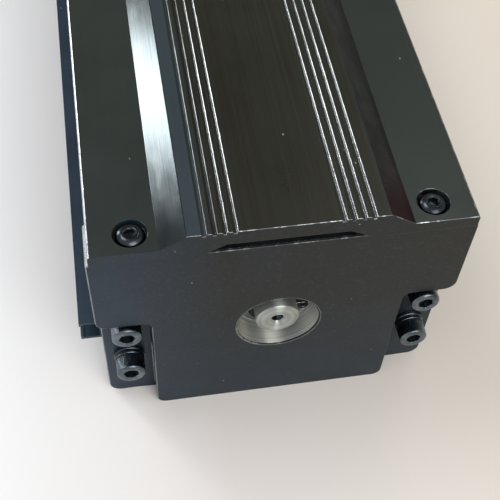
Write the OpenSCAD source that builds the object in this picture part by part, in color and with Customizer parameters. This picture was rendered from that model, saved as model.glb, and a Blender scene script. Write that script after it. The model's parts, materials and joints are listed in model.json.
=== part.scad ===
// Ball screw linear module: an extruded U base with two guide rails, a ball
// screw in a support block and a fixed block, a carriage that reaches out on
// both sides of a full-length cover, and a housing for a motor coupling.
// X is across the module, Y along it, Z up. The origin is in the middle of the
// base profile's underside, and the support end is at -Y.

/* [Base profile] */
// Length of the base profile
base_l = 380; // [320:10:700]
// Width of the base profile
base_w = 120; // [114:1:124]
// Height of the side walls
wall_h = 57; // [52:1:58]
// Thickness of the side walls
wall_t = 17; // [16:0.5:18]
// Thickness of the floor
floor_t = 12; // [10:1:15]
// Fillet between the floor and a wall
floor_fillet = 4; // [2:0.5:6]
// Width of the lightening chamber in each wall
chamber_w = 7; // [4:0.5:8]
// Height of the lightening chamber in each wall
chamber_h = 10; // [6:0.5:12]
// Height of the lightening chamber's centre
chamber_z = 38; // [36:0.5:40]
// Height of the T-slot's centre in each outer face
slot_z = 28.8; // [28:0.1:31]
// Width of the T-slot's mouth
slot_mouth = 4.4; // [3:0.1:5]
// Thickness of the T-slot's lips
slot_lip = 1.6; // [1:0.1:2]
// Height of the T-slot's undercut
slot_h = 8; // [6:0.5:9]
// Whole depth of the T-slot
slot_depth = 4.2; // [3:0.1:4.5]
// Height of the clamping groove's centre in each outer face
clamp_z = 10; // [7:0.5:12]
// Height of the clamping groove
clamp_h = 6; // [4:0.5:7]
// Depth of the clamping groove
clamp_depth = 3; // [1.5:0.5:4]

/* [Mounting holes] */
// Distance of the mounting holes inside the side walls
mount_in = 11; // [10:0.5:14]
// Distance along between the outer pair of mounting holes
mount_dy = 300; // [260:10:310]
// Distance along between the inner pair of mounting holes
mount_inner_dy = 100; // [60:10:180]
// Radius of a mounting hole
mount_r = 3.3; // [2.7:0.1:3.5]
// Radius of a mounting hole's counterbore
mount_cb_r = 5.5; // [4.5:0.1:6]
// Depth of a mounting hole's counterbore
mount_cb_depth = 6.5; // [4:0.5:7]

/* [End blocks] */
// Distance that the end blocks stand out over the base's sides
block_overhang = 1; // [0:0.1:1.5]
// Height of the end blocks
block_h = 92; // [88:1:95]
// Thickness of the front (support) block
front_t = 16; // [15:0.5:20]
// Thickness of the rear (fixed) block
rear_t = 30; // [30:1:40]
// Thickness of the flange that the block screws go through
flange_t = 8.5; // [7:0.5:10]
// Height of the shoulders above the screw flanges
shoulder_z = 55.5; // [55.5:0.5:58]
// Radius of the shoulders' lower corners
shoulder_r = 4; // [2:0.5:5]
// Radius of the waist's bottom corners
foot_r = 3.5; // [1:0.5:4]
// Radius of the flanges' bottom corners
flange_foot_r = 4.5; // [1:0.5:6]
// Radius of the notches' inner top corners
notch_r = 3; // [1:0.5:4]
// Chamfer along the blocks' top side edges
block_chamfer = 1.4; // [0.5:0.1:2.5]
// Bevel of the block's top front edge
lip_bevel = 0.4; // [0.2:0.1:0.8]
// Distance of the block screws inside the base's sides
block_screw_in = 8.6; // [8:0.1:9]
// Heights of the block screws
block_screw_z = [26.5, 50];
// Length of the block screws' thread in the base profile
block_screw_grip = 14; // [10:1:18]

/* [Cover] */
// Distance that the cover stands out over the front block's face
cover_overhang = 1; // [0:0.1:1.5]
// Thickness of the cover's side flanges
cover_t = 4.5; // [4.5:0.1:6]
// Height of the raised middle over the flanges
crown_h = 5.4; // [4:0.2:7]
// Width of the cover's flat side flanges
cover_flange_w = 20.9; // [19:0.1:24]
// Width of the slopes beside the raised middle
crown_slope = 8.1; // [5:0.1:10]
// Depth of the hollow under the raised middle
hollow_h = 4; // [2:0.1:5]
// Half width of the hollow at its mouth
hollow_mouth_x = 26; // [22:0.5:29]
// Half width of the hollow at its roof
hollow_roof_x = 19; // [15:0.5:22]
// Number of decorative grooves on each side
groove_n = 4; // [1:1:5]
// Distance of the outermost groove inside the raised middle's edge
groove_edge = 5.3; // [3:0.1:8]
// Distance between grooves
groove_pitch = 3.1; // [2:0.05:3.3]
// Width of a groove
groove_w = 1.7; // [1:0.1:1.9]
// Depth of a groove
groove_depth = 0.9; // [0.6:0.1:1.2]
// Chamfer along the grooves' edges
groove_lip = 0.35; // [0.1:0.05:0.45]
// Chamfer along the cover's top side edges
cover_edge = 0.6; // [0.2:0.1:1]
// Distance of the cover screws inside the cover's sides
cover_screw_in = 13.1; // [11:0.1:14]
// Distance of the cover screws behind the end blocks' outer faces
cover_screw_y = 6.7; // [6:0.1:7.5]
// Radius of the cover screws' counterbores
cover_cb_r = 5.2; // [5:0.05:5.8]
// Depth of the cover screws' counterbores
cover_cb_depth = 2.2; // [1.8:0.1:3]

/* [Ball screw] */
// Height of the screw's axis over the mounting face
axis_z = 47; // [46:0.5:49]
// Radius of the screw
screw_r = 10; // [9:0.5:10.5]
// Radius of the bearing journals
journal_r = 7.5; // [6.5:0.1:7.8]
// Radius of the drive journal
drive_r = 6; // [5:0.1:6.2]
// Length of the drive journal
drive_l = 21.5; // [19:0.5:23]
// Distance of the screw's front end behind the front face
shaft_recess = 1.3; // [0.8:0.1:4]
// Radius of the centre hole in the screw's ends
centre_r = 2; // [1:0.1:2.5]
// Bevel on the screw's ends
shaft_bevel = 0.5; // [0.2:0.1:1]
// Radius of the nut's body
nut_r = 18; // [16:0.5:18]
// Length of the nut's body behind its flange
nut_l = 42; // [30:1:60]
// Radius of the nut's flange
nut_flange_r = 29; // [27:0.5:30]
// Thickness of the nut's flange
nut_flange_t = 10; // [8:0.5:12]
// Half width across the flange's flats
nut_flat = 22; // [20:0.5:24]
// Radius of the circle of the nut's screws
nut_screw_pcr = 23.5; // [23:0.1:24]
// Radius of the seats for the nut's wipers
wiper_r = 14; // [12:0.5:15]
// Width of a wiper
wiper_w = 3; // [2:0.5:4]

/* [Bearings] */
// Distance of the front bearing behind the front face
front_bearing_depth = 8.4; // [8:0.1:10]
// Outer radius of the front bearing
front_bearing_r = 14; // [13.5:0.1:14.5]
// Width of the front bearing
front_bearing_w = 7; // [6:0.5:8]
// Thickness of the front bearing's rings
front_ring_t = 1.6; // [1.4:0.1:1.8]
// Number of balls in the front bearing
front_ball_n = 12; // [8:1:13]
// Radius of the boss behind the front bearing
boss_r = 20; // [18:0.5:22]
// Width of the lip behind the front bearing
boss_lip = 1.7; // [1:0.1:3]
// Radius of the hole in the lips behind the bearings
lip_r = 12; // [11.5:0.1:12.2]
// Bevel of the bearing bore's mouth
bore_bevel = 0.5; // [0.3:0.1:1]
// Outer radius of the rear bearings
rear_bearing_r = 16; // [15.5:0.1:16.5]
// Width of one rear bearing
rear_bearing_w = 9; // [8:0.5:9]
// Thickness of the rear bearings' rings
rear_ring_t = 2.1; // [1.9:0.1:2.3]
// Number of balls in one rear bearing
rear_ball_n = 12; // [8:1:12]
// Width of the lip in front of the rear bearings
rear_lip = 6; // [4:0.5:7]
// Depth of the ball races in the rings
race_depth = 0.3; // [0.2:0.05:0.4]
// Thickness of a bearing's shield
shield_t = 0.4; // [0.3:0.1:0.6]
// Distance of a shield behind the bearing's face
shield_inset = 0.3; // [0.1:0.1:0.6]
// Outer radius of the circlip
circlip_r = 9.7; // [9.2:0.1:10]
// Thickness of the circlip
circlip_t = 1; // [0.8:0.1:1.2]
// Depth of the circlip's groove in the journal
circlip_groove = 0.5; // [0.3:0.1:0.6]
// Radius of the circlip's two ears
ear_r = 1.9; // [1.6:0.1:2]
// Radius of the holes in the circlip's ears
ear_hole_r = 0.85; // [0.6:0.05:1]
// Radius of the bearing cover's flange
bearing_cover_r = 28; // [27.5:0.1:28.5]
// Thickness of the bearing cover's flange
bearing_cover_t = 5; // [4:0.5:6]
// Radius of the hole in the bearing cover
bearing_cover_hole_r = 13.1; // [12.9:0.1:13.4]
// Radius of the circle of the bearing cover's screws
bearing_cover_pcr = 22; // [21:0.1:23]
// Radius of the lock nut
lock_nut_r = 12.5; // [11.5:0.1:12.5]
// Width of the lock nut
lock_nut_w = 8; // [6:0.5:8]
// Width of the spacer before the lock nut
spacer_w = 3; // [2:0.5:4]
// Radius of the spacer
spacer_r = 9.8; // [9.3:0.1:10.5]

/* [Guides] */
// Width of the guide rails
rail_w = 15; // [13:0.5:15]
// Height of the guide rails
rail_h = 10; // [8:0.5:11]
// Distance of the rails' ends from the end blocks
rail_end_gap = 0.5; // [0.2:0.1:3]
// Distance between rail screws
rail_pitch = 40; // [30:5:60]
// Distance of the first rail screw from the rail's end
rail_first = 29.5; // [20:0.5:40]
// Width of a guide block
guide_w = 32; // [30:0.5:33]
// Length of a guide block's steel body
guide_l = 32; // [26:1:36]
// Length of an end cap
cap_l = 5; // [4:0.5:6]
// Height of the guide blocks' underside over the rail's foot
guide_lift = 4; // [3:0.5:4.5]
// Height of the guide blocks' top over the rail's foot
guide_h = 16; // [15:0.5:17]
// Distance of the guide blocks from the saddle's middle
guide_y = 30; // [26:1:32]
// Distance across between a guide block's screws
guide_screw_dx = 25; // [24:0.5:26]
// Distance along between a guide block's screws
guide_screw_dy = 20; // [16:1:22]

/* [Carriage] */
// Length of the saddle
saddle_l = 104; // [100:1:116]
// Thickness of the saddle's deck
deck_t = 13; // [11:0.5:14]
// Half width of the nut housing
housing_x = 27; // [25:0.5:29]
// Wall under the nut in the nut housing
housing_wall = 6; // [4:0.5:7]
// Bevel of the nut housing's lower corners
housing_bevel = 8; // [4:0.5:10]
// Fillet between the deck and the nut housing
saddle_fillet = 5; // [2:0.5:6]
// Width of the risers beside the cover
riser_w = 9; // [8:0.5:10]
// Length of the risers
riser_l = 104; // [90:1:116]
// Clearance between the risers and the cover's edges
cover_gap = 1.5; // [1:0.1:2.5]
// Clearance between the table and the cover's crown
table_gap = 2.5; // [1:0.5:5]
// Length of the table
table_l = 120; // [110:1:130]
// Thickness of the table
table_t = 12; // [10:0.5:16]
// Bevel around the table's top
table_bevel = 1; // [0.5:0.1:2]
// Distance across between the table's mounting holes
table_dx = 100; // [60:1:104]
// Distance along between the table's mounting holes
table_dy = 90; // [60:1:100]
// Distance between the table screws along a riser
table_screw_pitch = 30; // [28:1:32]
// Distance between the saddle and the rear bumpers at rest
rest_gap = 5; // [2:1:60]

/* [Bumpers] */
// Radius of the bumpers
bumper_r = 5.5; // [4:0.5:6]
// Length of the bumpers
bumper_l = 10; // [6:1:12]
// Distance of the bumpers from the middle
bumper_x = 36; // [32:1:40]
// Radius of a bumper's stem in its block
bumper_stem_r = 2; // [1.5:0.5:2.5]
// Length of a bumper's stem
bumper_stem_l = 6; // [4:1:8]

/* [Motor side] */
// Distance of the motor housing's sides inside the base's
housing_in = 16; // [15.5:0.5:17]
// Length of the motor housing
housing_l = 66; // [64:1:72]
// Radius of the motor housing's cavity
cavity_r = 30; // [29.5:0.1:30.5]
// Thickness of the motor housing's end wall
motor_wall = 8; // [6:0.5:12]
// Radius of the motor's pilot bore
pilot_r = 25; // [24:0.1:26]
// Radius of the circle of the motor's screw holes
motor_pcr = 35; // [34.5:0.1:36]
// Radius of the motor's screw holes
motor_hole_r = 2.5; // [2:0.1:3]
// Depth of the motor's screw holes
motor_hole_depth = 14; // [10:1:18]
// Distance of the housing's corner screws inside its faces, both ways
corner_in = 7.5; // [7:0.1:8]
// Radius of the housing's corners
housing_corner_r = 4; // [2:0.5:6]
// Width of the access window in the housing's top
window_w = 26; // [20:1:30]
// Length of the access window
window_l = 28; // [20:1:32]
// Distance of the window's middle from the rear block
window_y = 32; // [28:1:34]
// Overlap of the access cover round its window
access_lap = 7; // [6:0.5:8]
// Thickness of the access cover
access_t = 1; // [0.8:0.1:1]
// Radius of the coupling
coupling_r = 16; // [15:0.5:17]
// Length of a coupling hub
hub_l = 14.5; // [12:0.5:16]
// Length of the jaws on each hub
jaw_l = 9; // [7:0.5:10]
// Gap between the two hubs' faces
hub_gap = 12; // [11:0.5:13]
// Radius of the coupling's motor bore
motor_shaft_r = 7; // [4:0.5:7]
// Radius of the hole through the spider
spider_hole_r = 8; // [7.5:0.5:8.5]
// Width of the clamping slits in the hubs
slit_w = 1.2; // [0.8:0.1:1.6]

/* [Sensor rail] */
// Distance that the sensor rail stands out of the base
sensor_depth = 8; // [6:0.1:9]
// Height of the sensor rail
sensor_h = 10.2; // [9:0.1:11]
// Thickness of the sensor rail's walls
sensor_wall = 1.1; // [0.8:0.1:1.4]
// Width of the sensor rail's slot
sensor_slot = 6.4; // [2.5:0.1:7]
// Distance of the sensor rail's rear end before the rear block
sensor_end = 19; // [5:1:60]
// Distance of the sensor rail's front end behind the front block
sensor_start = 1; // [0.5:0.5:5]
// Distance of the sensor rail's outer screws inside its ends
sensor_screw_end = 20; // [10:1:60]

/* [Fasteners] */
// Radius of the block screws' thread
m6_r = 3; // [2.9:0.05:3.1]
// Radius of the block screws' heads
m6_head_r = 5; // [4.8:0.1:5.2]
// Height of the block screws' heads
m6_head_h = 6; // [5:0.5:7]
// Size of the hexagon in the block screws' heads, across corners
m6_hex = 5.5; // [5:0.1:6]
// Thickness of the block screws' flat washers
washer_t = 1.6; // [1:0.1:2]
// Radius of the block screws' flat washers
washer_r = 5.45; // [5.3:0.05:5.5]
// Thickness of the block screws' spring washers
spring_t = 1.6; // [1.2:0.1:2]
// Radius of the block screws' spring washers
spring_r = 5.15; // [4.8:0.05:5.3]
// Radius of the cover screws' thread
m5_r = 2.5; // [2.4:0.05:2.6]
// Radius of the cover screws' button heads
button_r = 4.75; // [4.5:0.05:4.9]
// Height of the cover screws' button heads
button_h = 2.75; // [2:0.05:3]
// Size of the hexagon in the button heads, across corners
button_hex = 3.5; // [3:0.1:3.8]
// Length of the cover screws' shanks
cover_screw_l = 10; // [8:0.5:12]
// Radius of a 5 mm cap screw's head
m5_head_r = 4.25; // [4:0.05:4.4]
// Height of a 5 mm cap screw's head
m5_head_h = 5; // [4:0.5:5]
// Radius of a 4 mm screw's thread
m4_r = 2; // [1.9:0.05:2.1]
// Radius of a 4 mm cap screw's head
m4_head_r = 3.5; // [3.2:0.1:3.7]
// Height of a 4 mm cap screw's head
m4_head_h = 4; // [3:0.5:4]
// Depth of the bearing cover screws in the rear block
bearing_cover_grip = 10; // [7:0.5:11]
// Radius of a 3 mm screw's thread
m3_r = 1.5; // [1.4:0.05:1.6]
// Radius of a 3 mm cap screw's head
m3_head_r = 2.75; // [2.6:0.05:2.85]
// Height of a 3 mm cap screw's head
m3_head_h = 3; // [2.5:0.5:3]
// Length of the rail screws' shanks
rail_screw_l = 11; // [8:0.5:12]

/* [Clearances] */
// Radial clearance of a screw in its tapped hole
thread_gap = 0.05; // [0.02:0.01:0.1]
// Radial clearance of a screw in a plain hole
hole_gap = 0.3; // [0.2:0.05:0.5]
// Radial clearance of a screw head in its counterbore
head_gap = 0.5; // [0.3:0.05:0.8]
// Radial clearance of a part pressed or held in its seat
seat_gap = 0.02; // [0.01:0.01:0.05]
// Clearance between the guide blocks and the rails
guide_gap = 0.3; // [0.2:0.05:0.5]
// Radial clearance between the nut's bore and the screw
nut_gap = 0.3; // [0.2:0.05:0.5]
// Clearance between the balls and the rings of a bearing
ball_gap = 0.12; // [0.08:0.02:0.2]
// Radial clearance between a shield and the inner ring
shield_gap = 0.3; // [0.2:0.05:0.5]
// Clearance between the coupling's jaws and the spider
jaw_gap = 0.1; // [0.05:0.05:0.2]

/* [Hidden] */

// Smoothness of round shapes
$fn = 64;
// Overcut of a cutting body past the face that it opens
cut = 1;

half_l = base_l / 2;
front_y = -half_l - front_t;
rear_y = half_l + rear_t;
motor_y = rear_y + housing_l;
block_w = base_w + 2 * block_overhang;
cover_w = base_w;
cover_y = front_y - cover_overhang;
cover_z = block_h;
flange_z = cover_z + cover_t;
crown_z = flange_z + crown_h;
wall_x = base_w / 2 - wall_t;
waist_x = wall_x;
mount_x = wall_x - mount_in;
block_screw_x = base_w / 2 - block_screw_in;
cover_screw_x = cover_w / 2 - cover_screw_in;
crown_foot_x = cover_w / 2 - cover_flange_w;
crown_top_x = crown_foot_x - crown_slope;
groove_x = crown_top_x - groove_edge - (groove_n - 1) * groove_pitch;
rail_x = base_w / 2 - wall_t / 2;
rail_l = base_l - 2 * rail_end_gap;
rail_n = floor((rail_l - 2 * rail_first) / rail_pitch) + 1;
deck_z = wall_h + guide_h;
deck_top = deck_z + deck_t;
riser_x = cover_w / 2 + cover_gap;
deck_x = riser_x + riser_w;
table_z = crown_z + table_gap;
table_top = table_z + table_t;
table_seat = table_top - m4_head_h - 0.5;
saddle_y1 = half_l - bumper_l - rest_gap;
saddle_y0 = saddle_y1 - saddle_l;
saddle_y = (saddle_y0 + saddle_y1) / 2;
bumper_z = deck_z + deck_t / 2;
housing_w = base_w - 2 * housing_in;
corner_screw = housing_w / 2 - corner_in;
front_bearing_y = front_y + front_bearing_depth;
front_shoulder_y = front_bearing_y + front_bearing_w;
boss_y = front_shoulder_y + boss_lip;
rear_bearing_y = half_l + rear_lip;
rear_stack_y = rear_bearing_y + 2 * rear_bearing_w;
spacer_y = rear_stack_y + spacer_w;
lock_nut_y = spacer_y + lock_nut_w;
shaft_front = front_y + shaft_recess;
shaft_rear = lock_nut_y + drive_l;
hub_y = shaft_rear - hub_l;
motor_hub_y = shaft_rear + hub_gap;
jaw_count = 3;
jaw_turn = 360 / jaw_count;
m6_shank_r = m6_r - thread_gap;
m6_hole_r = m6_r + hole_gap;
m5_shank_r = m5_r - thread_gap;
m5_hole_r = m5_r + hole_gap;
m4_shank_r = m4_r - thread_gap;
m4_hole_r = m4_r + hole_gap;
m3_shank_r = m3_r - thread_gap;
m3_hole_r = m3_r + hole_gap;
sensor_z0 = slot_z - sensor_h / 2;
sensor_y0 = -half_l + sensor_start;
sensor_l = base_l - sensor_start - sensor_end;
sensor_pitch = sensor_l / 2 - sensor_screw_end;
guide_body_z = wall_h + guide_lift;
nut_angles = [-35, 0, 35, 145, 180, 215];
ear_angle = 14;
jaw_space_half = 38;
// Distance of a clamp screw behind the coupling's outside, and its seat's height
clamp_screw_in = 4.6;
clamp_seat = 5;
arm_half = 7;
sides = [-1, 1];

// A profile drawn in X and Z, extruded along Y from y0 to y1
module bar_y(y0, y1) {
    translate([0, y1, 0])
        rotate([90, 0, 0])
            linear_extrude(y1 - y0)
                children();
}

// A round bar along Y
module rod_y(r, y0, y1, x = 0, z = axis_z) {
    translate([x, y1, z])
        rotate([90, 0, 0])
            cylinder(r = r, h = y1 - y0);
}

// A round bar along Z
module rod_z(r, z0, z1, x, y) {
    translate([x, y, z0])
        cylinder(r = r, h = z1 - z0);
}

// A cone along Y, with radius r0 at y0 and r1 at y1
module cone_y(r0, r1, y0, y1, x = 0, z = axis_z) {
    translate([x, y0, z])
        rotate([-90, 0, 0])
            cylinder(r1 = r0, r2 = r1, h = y1 - y0);
}

// A ring along Y
module ring_y(r_out, r_in, y0, y1) {
    difference() {
        rod_y(r_out, y0, y1);
        rod_y(r_in, y0 - cut, y1 + cut);
    }
}

// A rectangle with rounded corners, from [x0, z0] to [x1, z1]
module rounded_rect(x0, z0, x1, z1, r) {
    translate([x0 + r, z0])
        square([x1 - x0 - 2 * r, z1 - z0]);
    translate([x0, z0 + r])
        square([x1 - x0, z1 - z0 - 2 * r]);
    for (x = [x0 + r, x1 - r])
        for (z = [z0 + r, z1 - r])
            translate([x, z])
                circle(r = r);
}

// The material between a square corner at [x, z] and an arc of radius r.
// sx and sz point from the corner into the open space.
module corner_fill(x, z, r, sx, sz) {
    difference() {
        translate([min(x, x + sx * r), min(z, z + sz * r)])
            square([r, r]);
        translate([x + sx * r, z + sz * r])
            circle(r = r);
    }
}

// A socket head cap screw along Y. Its head's seat is at y, and dir is the
// way that its head looks: -1 towards the front, 1 towards the rear.
module cap_screw_y(r, head_r, head_h, hex, length, x, y, z, dir) {
    difference() {
        union() {
            rod_y(r, min(y, y - dir * length), max(y, y - dir * length), x, z);
            rod_y(head_r, min(y, y + dir * head_h), max(y, y + dir * head_h), x, z);
        }
        translate([x, y + dir * (head_h + cut), z])
            rotate([dir * 90, 0, 0])
                cylinder(r = hex / 2, h = head_h / 2 + cut, $fn = 6);
    }
}

// A socket head cap screw along Z, its head's seat at z, its head up
module cap_screw_z(r, head_r, head_h, hex, length, x, y, z) {
    difference() {
        union() {
            rod_z(r, z - length, z, x, y);
            rod_z(head_r, z, z + head_h, x, y);
        }
        translate([x, y, z + head_h / 2])
            cylinder(r = hex / 2, h = head_h, $fn = 6);
    }
}

// ---------------------------------------------------------------- base

// Outline of the base profile: a U with chambers, T-slots and clamp grooves
module base_outline() {
    difference() {
        union() {
            translate([-base_w / 2, 0])
                square([base_w, floor_t]);
            for (s = sides)
                translate([s > 0 ? wall_x : -base_w / 2, 0])
                    square([wall_t, wall_h]);
            for (s = sides)
                corner_fill(s * wall_x, floor_t, floor_fillet, -s, 1);
        }
        for (s = sides) {
            mirror([s > 0 ? 0 : 1, 0]) {
                rounded_rect(
                    rail_x - chamber_w / 2, chamber_z - chamber_h / 2,
                    rail_x + chamber_w / 2, chamber_z + chamber_h / 2, 1.5
                );
                translate([base_w / 2 - slot_lip, slot_z - slot_mouth / 2])
                    square([slot_lip + cut, slot_mouth]);
                translate([base_w / 2 - slot_depth, slot_z - slot_h / 2])
                    square([slot_depth - slot_lip, slot_h]);
                translate([base_w / 2 - clamp_depth, clamp_z - clamp_h / 2])
                    square([clamp_depth + cut, clamp_h]);
            }
        }
    }
}

module mounting_holes() {
    for (dy = [mount_dy, mount_inner_dy])
        for (sx = sides)
            for (sy = sides) {
                rod_z(mount_r, -cut, floor_t + cut, sx * mount_x, sy * dy / 2);
                rod_z(
                    mount_cb_r, floor_t - mount_cb_depth, floor_t + mount_cb_depth,
                    sx * mount_x, sy * dy / 2
                );
            }
}

module base_profile() {
    color("#2b2d2f")
        difference() {
            bar_y(-half_l, half_l)
                base_outline();
            mounting_holes();
            for (sx = sides)
                for (sy = sides)
                    for (z = block_screw_z)
                        rod_y(
                            m6_r,
                            sy > 0 ? half_l - block_screw_grip - 2 : -half_l - cut,
                            sy > 0 ? half_l + cut : -half_l + block_screw_grip + 2,
                            sx * block_screw_x, z
                        );
            for (sx = sides)
                for (i = [0 : rail_n - 1])
                    rod_z(m3_r, wall_h - 8, wall_h + cut, sx * rail_x, rail_screw_y(i));
        }
}

// Outline of an end block's full-thickness part, with shoulders and waist
module block_outline() {
    difference() {
        union() {
            translate([-waist_x, foot_r])
                square([2 * waist_x, block_h - foot_r]);
            rounded_rect(-waist_x, 0, waist_x, shoulder_z, foot_r);
            translate([-block_w / 2, shoulder_z + shoulder_r])
                square([block_w, block_h - shoulder_z - shoulder_r]);
            translate([-block_w / 2 + shoulder_r, shoulder_z])
                square([block_w - 2 * shoulder_r, shoulder_r]);
            for (s = sides) {
                translate([s * (block_w / 2 - shoulder_r), shoulder_z + shoulder_r])
                    circle(r = shoulder_r);
                corner_fill(s * waist_x, shoulder_z, notch_r, s, -1);
            }
        }
        block_top_chamfers();
    }
}

// Outline of the flange behind the notches
module block_flange_outline() {
    difference() {
        union() {
            rounded_rect(-base_w / 2, 0, base_w / 2, shoulder_z, flange_foot_r);
            translate([-base_w / 2, shoulder_z / 2])
                square([base_w, block_h - shoulder_z / 2]);
        }
        block_top_chamfers();
    }
}

module block_top_chamfers() {
    for (s = sides)
        translate([s * block_w / 2, block_h])
            rotate(45)
                square(block_chamfer * sqrt(2), center = true);
}

// Body of an end block from its inner face at y_in to its outer face at y_out
module end_block_body(y_in, y_out) {
    dir = y_out > y_in ? 1 : -1;
    y_flange = y_in + dir * flange_t;
    difference() {
        union() {
            bar_y(min(y_in, y_out), max(y_in, y_out))
                block_outline();
            bar_y(min(y_in, y_flange), max(y_in, y_flange))
                block_flange_outline();
        }
        // bevel of the top outer edge
        translate([0, y_out, block_h])
            rotate([45, 0, 0])
                cube([block_w + cut, lip_bevel * sqrt(2), lip_bevel * sqrt(2)], center = true);
        for (sx = sides) {
            for (z = block_screw_z)
                rod_y(m6_hole_r, min(y_in, y_out) - cut, max(y_in, y_out) + cut,
                    sx * block_screw_x, z);
            rod_z(
                m5_r, block_h - 12, block_h + cut,
                sx * cover_screw_x, y_out - dir * cover_screw_y
            );
            rod_y(
                bumper_stem_r, min(y_in, y_in + dir * bumper_stem_l) - cut,
                max(y_in, y_in + dir * bumper_stem_l) + cut, sx * bumper_x, bumper_z
            );
        }
    }
}

module front_block() {
    color("#333639")
        difference() {
            union() {
                end_block_body(-half_l, front_y);
                rod_y(boss_r, -half_l - cut, boss_y);
            }
            rod_y(front_bearing_r, front_y - cut, front_shoulder_y);
            rod_y(lip_r, front_y, boss_y + cut);
            cone_y(
                front_bearing_r + bore_bevel + cut, front_bearing_r,
                front_y - cut, front_y + bore_bevel
            );
        }
}

module rear_block() {
    color("#333639")
        difference() {
            end_block_body(half_l, rear_y);
            rod_y(rear_bearing_r, rear_bearing_y, rear_y + cut);
            rod_y(lip_r, half_l - cut, rear_y);
            for (a = [45 : 90 : 315])
                rod_y(
                    m4_r, rear_y - 12, rear_y + cut,
                    bearing_cover_pcr * cos(a), axis_z + bearing_cover_pcr * sin(a)
                );
            for (sx = sides)
                for (sz = sides)
                    rod_y(
                        m6_r, rear_y - 14, rear_y + cut,
                        sx * corner_screw, axis_z + sz * corner_screw
                    );
        }
}

// Section of a decorative groove with chamfered edges
module groove_outline() {
    w = groove_w / 2;
    polygon([
        [-w, 0], [-w, cut], [w, cut], [w, 0], [w - groove_lip, -groove_lip],
        [w - groove_lip, -groove_depth], [-w + groove_lip, -groove_depth],
        [-w + groove_lip, -groove_lip]
    ]);
}

// Outline of the cover: flanges, a crown with grooves, and a hollow below
module cover_outline() {
    difference() {
        polygon([
            [-cover_w / 2, cover_z],
            [-hollow_mouth_x, cover_z],
            [-hollow_roof_x, cover_z + hollow_h],
            [hollow_roof_x, cover_z + hollow_h],
            [hollow_mouth_x, cover_z],
            [cover_w / 2, cover_z],
            [cover_w / 2, flange_z - cover_edge],
            [cover_w / 2 - cover_edge, flange_z],
            [crown_foot_x, flange_z],
            [crown_top_x, crown_z],
            [-crown_top_x, crown_z],
            [-crown_foot_x, flange_z],
            [-cover_w / 2 + cover_edge, flange_z],
            [-cover_w / 2, flange_z - cover_edge]
        ]);
        for (s = sides)
            for (i = [0 : groove_n - 1])
                translate([s * (groove_x + i * groove_pitch), crown_z])
                    groove_outline();
    }
}

module top_cover() {
    color("#2a2b2a")
        difference() {
            bar_y(cover_y, rear_y)
                cover_outline();
            for (sx = sides)
                for (y = [front_y + cover_screw_y, rear_y - cover_screw_y]) {
                    rod_z(m5_hole_r, cover_z - cut, flange_z + cut, sx * cover_screw_x, y);
                    rod_z(
                        cover_cb_r, flange_z - cover_cb_depth, flange_z + cut,
                        sx * cover_screw_x, y
                    );
                }
        }
}

// Button head screw standing in a counterbore, its seat at z
module button_screw(x, y, z, length) {
    difference() {
        union() {
            rod_z(m5_shank_r, z - length, z, x, y);
            intersection() {
                rod_z(button_r, z, z + button_h, x, y);
                translate([x, y, z + button_h - 6])
                    sphere(r = 6);
            }
        }
        translate([x, y, z + 1])
            cylinder(r = button_hex / 2, h = button_h, $fn = 6);
    }
}

module cover_screws() {
    color("#3c3e40")
        for (sx = sides)
            for (y = [front_y + cover_screw_y, rear_y - cover_screw_y])
                button_screw(sx * cover_screw_x, y, flange_z - cover_cb_depth, cover_screw_l);
}

// The four cap screws that hold an end block, or one kind of their washers
module block_screw_set(y_flange, dir) {
    for (sx = sides)
        for (z = block_screw_z)
            cap_screw_y(
                m6_shank_r, m6_head_r, m6_head_h, m6_hex,
                flange_t + washer_t + spring_t + block_screw_grip,
                sx * block_screw_x, y_flange + dir * (washer_t + spring_t), z, dir
            );
}

module washer_set(r, y0, y1) {
    for (sx = sides)
        for (z = block_screw_z)
            difference() {
                rod_y(r, y0, y1, sx * block_screw_x, z);
                rod_y(m6_hole_r, y0 - cut, y1 + cut, sx * block_screw_x, z);
            }
}

module front_block_screws() {
    color("#54585b")
        block_screw_set(-half_l - flange_t, -1);
}

module front_spring_washers() {
    y = -half_l - flange_t - washer_t;
    color("#606468")
        washer_set(spring_r, y - spring_t, y);
}

module front_flat_washers() {
    y = -half_l - flange_t;
    color("#6a6e72")
        washer_set(washer_r, y - washer_t, y);
}

module rear_block_screws() {
    color("#54585b")
        block_screw_set(half_l + flange_t, 1);
}

module rear_spring_washers() {
    y = half_l + flange_t + washer_t;
    color("#606468")
        washer_set(spring_r, y, y + spring_t);
}

module rear_flat_washers() {
    y = half_l + flange_t;
    color("#6a6e72")
        washer_set(washer_r, y, y + washer_t);
}

// -------------------------------------------------------------- guides

function rail_screw_y(i) = -(rail_n - 1) * rail_pitch / 2 + i * rail_pitch;

// Right half of the rail's section, grown by g, from its foot up
function rail_half(g) = [
    [rail_w / 2 + g, 0],
    [rail_w / 2 + g, 3.4 - g / 2],
    [rail_w / 2 - 1.3 + g, 4.7 - g / 2],
    [rail_w / 2 - 1.3 + g, 5.9 + g / 2],
    [rail_w / 2 + g, 7.2 + g / 2],
    [rail_w / 2 + g, rail_h - 0.6 + g],
    [rail_w / 2 - 0.6 + g, rail_h + g]
];

function flip_x(points) = [for (i = [len(points) - 1 : -1 : 0]) [-points[i][0], points[i][1]]];

module rail_outline(g) {
    polygon(concat(rail_half(g), flip_x(rail_half(g))));
}

module guide_rail(side) {
    difference() {
        translate([side * rail_x, 0, wall_h])
            bar_y(-rail_l / 2, rail_l / 2)
                rail_outline(0);
        for (i = [0 : rail_n - 1]) {
            rod_z(m3_hole_r, wall_h - cut, wall_h + rail_h, side * rail_x, rail_screw_y(i));
            rod_z(
                m3_head_r + 0.25, wall_h + rail_h - 4.5, wall_h + rail_h + cut,
                side * rail_x, rail_screw_y(i)
            );
        }
    }
}

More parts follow.
